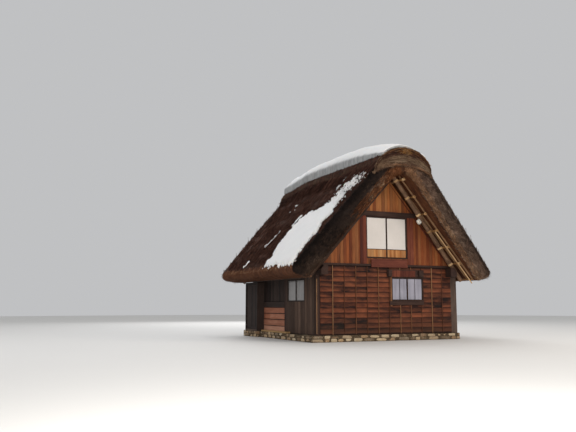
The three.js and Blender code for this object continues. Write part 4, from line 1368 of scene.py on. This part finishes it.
def buildSiding():
    low = house["stoneTop"] + 0.06
    top = house["wallTop"] - 0.02
    batten = {"out": 0.052, "thick": 0.022, "half": 0.012, "slimHalf": 0.01, "below": 0.03, "step": 0.5}
    strip = {"wide": 0.024, "proud": 0.006, "thick": 0.01, "short": 0.5}
    # For each wall: seed, window, span, top, first joint, and the tone range of each batten, pale or dark
    pale, dark = (0.3, 0.85), (0, 0.1)
    gables = [pale if k in (0, 2, 4, 6, 7, 9) else dark for k in range(11)]
    sides = [(0.6, 1.0) if k % 2 else (0, 0.15) for k in range(1, 12)]
    sideSpan = (house["front"] + 0.15, house["back"] - 0.15)
    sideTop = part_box("right_wall")[1].z - 0.02
    rows = {
        "front": (61, "lower_window_frame", (-2.94, 3.03), top, -2.42, -2.42, gables),
        "back": (62, "back_lower_window", (-3.03, 2.94), top, -2.42, -2.42, gables),
        "right": (63, "right_window", sideSpan, sideTop, 0.0, -2.5, sides),
    }
    for name, (seed, window, span, crest, firstJoint, firstBatten, tones) in rows.items():
        wall = walls[name]
        rng = random.Random(seed)
        boards, strips = newHeap(), newHeap()
        holes = [holeOf(window, wall, 0.004)]
        addLappedRows(boards, wall, span, (low, crest), holes, rng, firstJoint)
        makePiece(f"lapped_siding_{name}", boards, wood("oiledCedarSiding"), smooth=35)
        for k, tone in enumerate(tones):
            s = firstBatten + batten["step"] * k
            half = batten["slimHalf" if tone == dark else "half"]
            for part in besideHoles((s - half, s + half, low - batten["below"], crest), holes):
                addStrip(strips, wall, *part, batten["out"], batten["thick"], rng, rng.uniform(*tone))
        if name == "front":  # pale strip that covers the boards' ends at the left corner
            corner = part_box("corner_post_front_left")[0]
            proud = house["front"] - corner.y + strip["proud"]
            addStrip(strips, wall, corner.x, corner.x + strip["wide"], low, crest - strip["short"], proud,
                     strip["thick"], rng, 0.9)
        makePiece(f"siding_battens_{name}", strips, wood("paleBatten"), bevel=0.002)
    print("siding")


def buildGableBoards():
    gable = {"inset": 0.03, "widths": (0.115, 0.15), "gap": 0.006, "edgeOut": 0.038, "edgeThick": 0.016,
             "jamb": 0.14, "jambStep": 0.145, "jambOut": 0.036, "jambThick": 0.018}
    for name, seed, window, node in (("front", 71, "upper_window_frame", "gable_wall_front"),
                                     ("back", 72, "back_upper_window", "gable_wall_back")):
        wall = walls[name]
        rng = random.Random(seed)
        low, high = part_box(node)
        half = high.x

        def topAt(s):
            return min(low.z + (half - abs(s)) * roof["innerRise"], high.z) - 0.004

        holes = [holeOf(window, wall, 0.002)]
        if name == "front":
            holes.append(holeOf("gable_beam", wall))
        boards, red = newHeap(), newHeap()
        span = (-half + gable["inset"], half - gable["inset"])
        addUprights(boards, wall, span, low.z + 0.002, topAt, holes, rng, gable["widths"], gap=gable["gap"])
        makePiece(f"gable_boards_{name}", boards, wood("uprightGableCedar"), bevel=0.002)
        for side in (-1, 1):  # sloping edge boards under the rafters
            feet = [(side * (half - 0.02), low.z + 0.01), (side * (half - 0.17), low.z + 0.01)]
            tops = [(side * 0.17, topAt(0.17) - 0.16), (side * 0.05, topAt(0.17) - 0.02)]
            spots = feet + tops if side < 0 else feet[::-1] + tops[::-1]
            addSlab(red, [onWall(wall, *spot, gable["edgeOut"]) for spot in spots],
                    wall["out"] * -gable["edgeThick"], Vector((0.65, 0, 0.75)), rng.uniform(0.2, 0.5), rng)
        if name == "front":  # two old boards at either side of the window
            left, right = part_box(window)
            heights = (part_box("floor_band")[1].z + 0.004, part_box("gable_beam")[0].z - 0.004)
            for start, way in ((left.x - 0.004, -1), (right.x + 0.004, 1)):
                for i in range(2):
                    ends = [start + way * (gable["jambStep"] * i + reach) for reach in (0, gable["jamb"])]
                    addStrip(red, wall, *sorted(ends), *heights, gable["jambOut"], gable["jambThick"],
                             rng, rng.random())
        makePiece(f"gable_edge_boards_{name}", red, wood("redJambBoards"), bevel=0.002)
    print("gable boards")


# Windows: sash sticks, bars and the pine panels under the upper panes
def buildWindowDetails():
    pane = {"edge": 0.016, "panel": 0.315, "boards": 9, "rail": 0.012, "middle": 0.008}
    bars = {"rim": 0.045, "count": 8, "half": 0.007, "centre": 0.02, "sideCentre": 0.007}
    wall = walls["front"]
    rng = random.Random(81)
    pine, sticks = newHeap(), newHeap()
    for node in ("upper_pane_left", "upper_pane_right", "lower_pane_left", "lower_pane_right"):
        s0, s1, z0, z1 = holeOf(node, wall)
        out = proudOf(node, wall)
        edge = pane["edge"]
        uprights = [(s0, s0 + edge), (s1 - edge, s1)]
        levels = [(z0, z0 + edge), (z1 - edge, z1)]
        if "upper" in node:
            panelTop = z0 + pane["panel"]
            levels.insert(1, (panelTop - pane["rail"], panelTop + pane["rail"]))
            width = (s1 - s0 - 0.03) / pane["boards"]
            for i in range(pane["boards"]):
                s = s0 + 0.015 + i * width
                addStrip(pine, wall, s, s + width - 0.001, z0 + 0.012, panelTop, out + 0.01, 0.009, rng,
                         rng.random())
        addSash(sticks, wall, (z0, z1), uprights, levels, out, (0.014, 0.013), (0.1, 0.4), rng)
        if "lower" in node:
            middle = (s0 + s1) / 2
            half = pane["middle"]
            addStrip(sticks, wall, middle - half, middle + half, z0, z1, out + 0.012, 0.012, rng, 0.3)
    makePiece("upper_window_pine_panels", pine, wood("barePinePanel"), bevel=0.001)
    makePiece("sash_sticks", sticks, wood("agedSideBoards"), bevel=0.001)
    for name, side in (("side", "left"), ("right", "right"), ("back_upper", "back"), ("back_lower", "back")):
        wall = walls[side]
        s0, s1, z0, z1 = holeOf(f"{name}_window", wall)
        out = proudOf(f"{name}_window", wall)
        heap = newHeap()
        rim = bars["rim"]
        centre = bars["sideCentre" if name == "side" else "centre"]
        uprights = [(s0, s0 + rim), (s1 - rim, s1), ((s0 + s1) / 2 - centre, (s0 + s1) / 2 + centre)]
        levels = [(z0, z0 + rim), (z1 - rim, z1)]
        addSash(heap, wall, (z0, z1), uprights, levels, out, (0.034, 0.032), (0.2, 0.5), rng)
        for i in range(1, 0 if name == "side" else bars["count"]):
            s = mix(s0 + rim, s1 - rim, i / bars["count"])
            half = bars["half"]
            addStrip(heap, wall, s - half, s + half, z0 + rim, z1 - rim, out + 0.02, 0.014, rng,
                     rng.uniform(0.2, 0.5))
        makePiece(f"{name}_window_bars", heap, wood("agedSideBoards"), bevel=0.001)

    # The pale board beside the lower window, and the thin boards on its hood, of which one is missing
    beside = {"from": 0.07, "to": 0.004, "below": 0.2, "out": 0.045, "thick": 0.035}
    over = {"boards": 10, "free": (0.17, 0.12), "out": 0.068, "thick": 0.007, "missing": (1.42, 1.7)}
    jamb, hood = newHeap(), newHeap()
    rng = random.Random(82)
    low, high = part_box("lower_window_frame")
    addStrip(jamb, walls["front"], low.x - beside["from"], low.x - beside["to"], low.z - beside["below"],
             high.z, beside["out"], beside["thick"], rng, 0.5)
    makePiece("lower_window_jamb", jamb, wood("paleBatten"), bevel=0.003)
    low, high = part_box("window_hood")
    first, last = low.x + over["free"][0], high.x - over["free"][1]
    edges = [mix(first, last, i / over["boards"]) for i in range(over["boards"] + 1)]
    for s0, s1 in zip(edges, edges[1:]):
        if not over["missing"][0] < s1 < over["missing"][1]:
            addStrip(hood, walls["front"], s0 + 0.002, s1 - 0.002, low.z + 0.012, high.z - 0.03,
                     over["out"], over["thick"], rng, rng.random())
    makePiece("window_hood_boards", hood, wood("redJambBoards"), bevel=0.001)
    print("windows")


# Left wall: aged upright boards, the low wall of level boards, and the boards round the entry bay
def buildLeftWall():
    wall = walls["left"]
    rng = random.Random(91)
    level = {"rows": [0.255, 0.26, 0.245, 0.25], "cutRow": 2, "cutAt": 0.3, "gap": 0.028, "thick": 0.024,
             "out": 0.03, "loose": (-0.004, 0.006)}
    heap = newHeap()
    s0, s1, z0, z1 = holeOf("left_wall_window_bay", wall)
    holes = [holeOf("side_window", wall, 0.003)]
    addUprights(heap, wall, (s0, s1), z0 + 0.02, lambda s: z1 - 0.02, holes, rng, (0.12, 0.22))
    makePiece("left_upright_boards", heap, wood("cornerBoards"), bevel=0.002)

    heap = newHeap()
    s0, s1, z0, z1 = holeOf("low_board_wall", wall)
    z = z0 + 0.015
    for i, tall in enumerate(level["rows"]):
        cuts = [s0, mix(s0, s1, level["cutAt"]), s1] if i == level["cutRow"] else [s0, s1]
        for a, b in zip(cuts, cuts[1:]):
            out = level["out"] + rng.uniform(*level["loose"])
            feet = [z + rng.uniform(0, 0.01), z + rng.uniform(0, 0.01)]
            crest = z + tall - level["gap"]
            a, b = a + 0.004, b - 0.004
            corners = [onWall(wall, a, feet[0], out), onWall(wall, b, feet[1], out),
                       onWall(wall, b, crest, out - 0.004), onWall(wall, a, crest, out - 0.004)]
            addSlab(heap, corners, wall["out"] * -level["thick"], wall["along"], rng.uniform(0.45, 1.0), rng)
        z += tall
    makePiece("low_wall_boards", heap, wood("levelWallBoards"), bevel=0.004)
    heap = newHeap()
    addStrip(heap, wall, s0 + 0.004, s1 - 0.004, z, z1 - 0.01, 0.028, 0.022, rng, 0.9, wall["along"])
    makePiece("low_wall_top_board", heap, wood("agedSideBoards"), bevel=0.004)

    # Piece, node, the way it looks, what is left free at either end, board widths, stand and thickness
    for name, node, way, free, widths, out, thick in (
        ("dark_upright_boards", "left_wall_dark_boards", "left", (0.01, 0.01), (0.12, 0.2), 0.016, 0.013),
        ("entry_cheek_front_boards", "entry_cheek_front", "front", (0, 0.02), (0.08, 0.13), 0.014, 0.012),
        ("entry_cheek_back_boards", "entry_cheek_back", "back", (0.02, 0), (0.08, 0.13), 0.014, 0.012),
    ):
        low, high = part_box(node)
        face = wallAt(way, {"left": low.x, "front": low.y, "back": high.y}[way])
        s0, s1, z0, z1 = holeOf(node, face)
        span = (s0 + free[0], s1 - free[1])
        heap = newHeap()
        addUprights(heap, face, span, z0 + 0.01, lambda s: z1 - 0.01, [], rng, widths, out, thick)
        makePiece(name, heap, wood("agedSideBoards"), bevel=0.002)
    print("left wall")


def buildDoors():
    door = {"stile": 0.06, "lowRail": 0.1, "topRail": 0.07, "panels": 4, "gap": 0.0015, "sunk": 0.007,
            "pull": (0.82, 0.98), "pullHalf": 0.014}
    for name, body, seed in (("entry_door_front", "door_front", 101), ("entry_door_back", "door_back", 102)):
        rng = random.Random(seed)
        low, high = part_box(name)
        leaf = wallAt("left", low.x)
        thick = high.x - low.x
        s0, s1, z0, z1 = holeOf(name, leaf)
        inner0, inner1 = s0 + door["stile"], s1 - door["stile"]
        low0, top0 = z0 + door["lowRail"], z1 - door["topRail"]
        uprights, levels = [(s0, inner0), (inner1, s1)], [(z0, low0), (top0, z1)]
        heap = newHeap()
        addSash(heap, leaf, (z0, z1), uprights, levels, -thick, (thick, thick), (0.3, 0.6), rng)
        edges = [mix(inner0, inner1, i / door["panels"]) for i in range(door["panels"] + 1)]
        for a, b in zip(edges, edges[1:]):
            addStrip(heap, leaf, a + door["gap"], b - door["gap"], low0, top0, -door["sunk"],
                     thick - 2 * door["sunk"], rng, rng.random())
        pull = s0 + door["stile"] / 2 if body == "door_front" else s1 - door["stile"] / 2
        heights = [z0 + rise for rise in door["pull"]]
        half = door["pullHalf"]
        addStrip(heap, leaf, pull - half, pull + half, *heights, 0.003, 0.006, rng, 0.0)
        makePiece(f"{name}_leaf", heap, wood("agedSideBoards"), body, bevel=0.0015,
                  replaced=[name])
    print("doors")


# Field stones laid dry in two courses under the walls

def addStone(heap, centre, size, rng):
    ball = bmesh.new()
    bmesh.ops.create_icosphere(ball, subdivisions=2, radius=1.0)
    seed = rng.uniform(0, 90)
    ball.verts.index_update()
    points = []
    for vert in ball.verts:
        way = vert.co.normalized()
        square = [math.copysign(abs(v) ** 0.45, v) for v in way]
        bump = 1 + 0.16 * lumps(way, 0.8, seed) + 0.06 * lumps(way, 0.25, seed)
        points.append(centre + Vector([v * h * bump * 0.86 for v, h in zip(square, size)]))
    faces = [tuple(v.index for v in face.verts) for face in ball.faces]
    ball.free()
    addSolid(heap, points, faces, Vector((1, 0, 0)), rng.random(), rng)


def buildStones(material):
    footing = {"depth": 0.24, "courses": ((0.0, 0.135), (0.125, house["stoneTop"])), "lengths": (0.2, 0.58)}
    top = house["stoneTop"] + 0.012
    depth = footing["depth"]
    low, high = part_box("foundation_front")
    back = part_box("foundation_back")[1].y
    entry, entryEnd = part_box("entry_stones")
    # From where to where each wall's stones run, and the way into the house
    runs = [
        ((low.x, low.y), (high.x, low.y), (0, 1)),
        ((high.x, low.y + 0.1), (high.x, back - 0.1), (-1, 0)),
        ((high.x, back), (entry.x, back), (0, -1)),
        ((low.x, low.y + 0.1), (low.x, entry.y - 0.05), (1, 0)),
        ((entry.x, entry.y), (entryEnd.x, entry.y), (0, 1)),
        ((entry.x, entry.y + 0.1), (entry.x, entryEnd.y - 0.1), (1, 0)),
    ]
    rng = random.Random(111)
    heap = newHeap()
    for run in runs:
        start, end, inward = [Vector((*spot, 0)) for spot in run]
        length = (end - start).length
        along = (end - start).normalized()
        for z0, z1 in footing["courses"]:
            s = -0.02
            while s < length - 0.08:
                wide = min(rng.uniform(*footing["lengths"]), length - s + 0.02)
                tall = (z1 - z0) / 2 * rng.uniform(0.94, 1.06)
                middle = start + along * (s + wide / 2) + inward * (depth / 2 - rng.uniform(0.0, 0.03))
                middle.z = max(tall + 0.001, (z0 + z1) / 2)
                if middle.z + tall > top:
                    middle.z = top - tall
                size = Vector((wide / 2 + 0.02, depth / 2 + 0.02, tall + 0.012))
                if abs(along.y) > 0.5:
                    size = size.yxz
                addStone(heap, middle, size, rng)
                s += wide
    makePiece("field_stones", heap, material, smooth=55)
    print("stones")


# Lamp on the verge rafter: a rounded cover whose back is flat
def buildLamp():
    lamp = {"halves": (0.1, 0.06, 0.075), "rings": 10, "sides": 28, "straight": 0.6}
    low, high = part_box("verge_lamp")
    along = Vector((math.cos(innerTilt), 0, -math.sin(innerTilt)))
    deep = Vector((-math.sin(innerTilt), 0, -math.cos(innerTilt)))
    points = []
    for r in range(lamp["rings"] + 1):
        share = r / lamp["rings"]
        bend = max(0.0, (share - lamp["straight"]) / 0.4)
        size = math.sqrt(1 - bend ** 2 * 0.97)
        for s in range(lamp["sides"]):
            turn = 2 * math.pi * s / lamp["sides"]
            u, v = [math.copysign(abs(way) ** 0.5, way) * half * size
                    for way, half in zip((math.cos(turn), math.sin(turn)), lamp["halves"])]
            points.append((low + high) / 2 + along * u + Vector((0, 1, 0)) * v
                          + deep * (2 * share - 1) * lamp["halves"][2])
    heap = newHeap()
    addSolid(heap, points, tubeFaces(lamp["rings"], lamp["sides"]), along, 0.5, random.Random(121))
    cover = makePiece("verge_lamp_cover", heap, lampMaterial(), smooth=40,
                      replaced=["verge_lamp"])
    mesh = bmesh.new()
    mesh.from_mesh(cover.data)
    bmesh.ops.recalc_face_normals(mesh, faces=mesh.faces)
    mesh.to_mesh(cover.data)
    mesh.free()
    print("lamp")


# The frame's own timbers keep their solids and get their finish and eased edges
def finishFrame():
    eased = {"timber": 0.004, "stone": 0.01}
    # Finish and grain axis of each group of nodes
    looks = {
        ("smokedBeam", "x"): "floor_band gable_beam window_hood window_sill upper_window_frame "
                             "lower_window_frame",
        ("smokedBeam", "y"): "beam_end_right beam_end_left",
        ("smokedBeam", "z"): "corner_post_front_left corner_post_back_left left_wall_post",
        ("silveredPost", "z"): "corner_post_front_right corner_post_back_right",
        ("silveredPost", "y"): "entry_sill",
        ("shadedBoard", "z"): "left_wall_window_bay left_wall_dark_boards entry_jamb entry_lintel "
                              "entry_cheek_front entry_cheek_back low_board_wall",
        ("shadedBoard", "y"): "entry_head",
        ("sidingBacking", "x"): "front_wall back_wall",
        ("sidingBacking", "y"): "right_wall",
        ("sidingBacking", "z"): "gable_wall_front gable_wall_back",
        ("plainPlank", "y"): "ground_floor attic_floor base_plank",
        ("redBoard", "x"): "signboard",
    }
    for (finish, axis), nodes in looks.items():
        dress(nodes, wood(finish, axis), eased["timber"])
    footings = "foundation_front foundation_back foundation_left foundation_right entry_stones"
    dress(footings, earthMaterial(), eased["stone"])
    dress("upper_pane_left upper_pane_right back_upper_window", paperMaterial())
    dress("lower_pane_left lower_pane_right back_lower_window right_window",
          glassMaterial("blindBehindGlass", ["#7d7b86", "#9c9aa6"]))
    dress("side_window", glassMaterial("shadedWindowGlass", ["#6b6764", "#827e7b"]))
    print("frame timbers are finished")


def dress(nodes, material, bevel=0.0):
    for node in nodes.split():
        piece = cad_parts[node]
        piece.data.materials.clear()
        piece.data.materials.append(material)
        if bevel:
            piece.modifiers.new("joined", "WELD").merge_threshold = 0.0001
            roundEdges(piece, bevel, 2, 50)


def buildStage():
    studio = {"floor": 60.0, "sides": 96, "floorColour": "#e2e1de", "floorShade": "#cfcecb",
              "sky": "#f1f2f4", "skyStrength": 0.6, "aim": (0, 0, 3)}
    # Name, place, size, watts and colour of each light
    lamps = [
        ("keyLight", (12, -22, 15), 11, 2600, "#fff4e8"),
        ("lowFill", (-10, -22, 1.6), 10, 2000, "#fffaf4"),
        ("leftFill", (-22, -4, 12), 14, 700, "#f2f4fa"),
        ("topLight", (0, 6, 24), 16, 1300, "#f8f8fa"),
        ("backLight", (6, 24, 12), 12, 1800, "#f8f8fa"),
    ]
    bpy.context.scene.view_settings.view_transform = "Standard"
    material, tree = newMaterial("paleStudioFloor", 0.85)
    soft = addNode(tree, "TexNoise", addNode(tree, "TexCoord", out="Object"), 0.4, 2, 0.55)
    finishMaterial(material, addNode(tree, "Mix", weigh(tree, (soft, 0.1)), studio["floorColour"],
                                     studio["floorShade"], **plainly))
    turns = [2 * math.pi * i / studio["sides"] for i in range(studio["sides"])]
    rim = [(studio["floor"] * math.cos(turn), studio["floor"] * math.sin(turn), 0) for turn in turns]
    mesh = bpy.data.meshes.new("studio_floor")
    mesh.from_pydata(rim, [], [tuple(range(studio["sides"]))])
    mesh.materials.append(material)
    floor = bpy.data.objects.new("studio_floor", mesh)
    bpy.context.scene.collection.objects.link(floor)

    world = bpy.data.worlds.new("softSky")
    bpy.context.scene.world = world
    world.use_nodes = True
    sky = world.node_tree.nodes["Background"]
    sky.inputs["Color"].default_value = linear(studio["sky"])
    sky.inputs["Strength"].default_value = studio["skyStrength"]
    for name, place, size, watts, colour in lamps:
        data = bpy.data.lights.new(name, "AREA")
        data.size = size
        data.energy = watts
        data.color = linear(colour)[:3]
        light = bpy.data.objects.new(name, data)
        light.location = place
        light.rotation_euler = (Vector(studio["aim"]) - Vector(place)).to_track_quat("-Z", "Y").to_euler()
        bpy.context.scene.collection.objects.link(light)
    print("stage and lights")


buildCamera()
buildStage()
finishFrame()
buildThatch(thatchMaterial())
buildReedEnds()
buildRidgeCap(capMaterial())
buildCapStraw()
snow = snowMaterial()
buildRidgeSnow(snow)
buildSlopeSnow(snow)
buildPoles()
buildLamp()
buildSiding()
buildGableBoards()
buildWindowDetails()
buildLeftWall()
buildDoors()
buildStones(stoneMaterial())

print("all pieces are in")
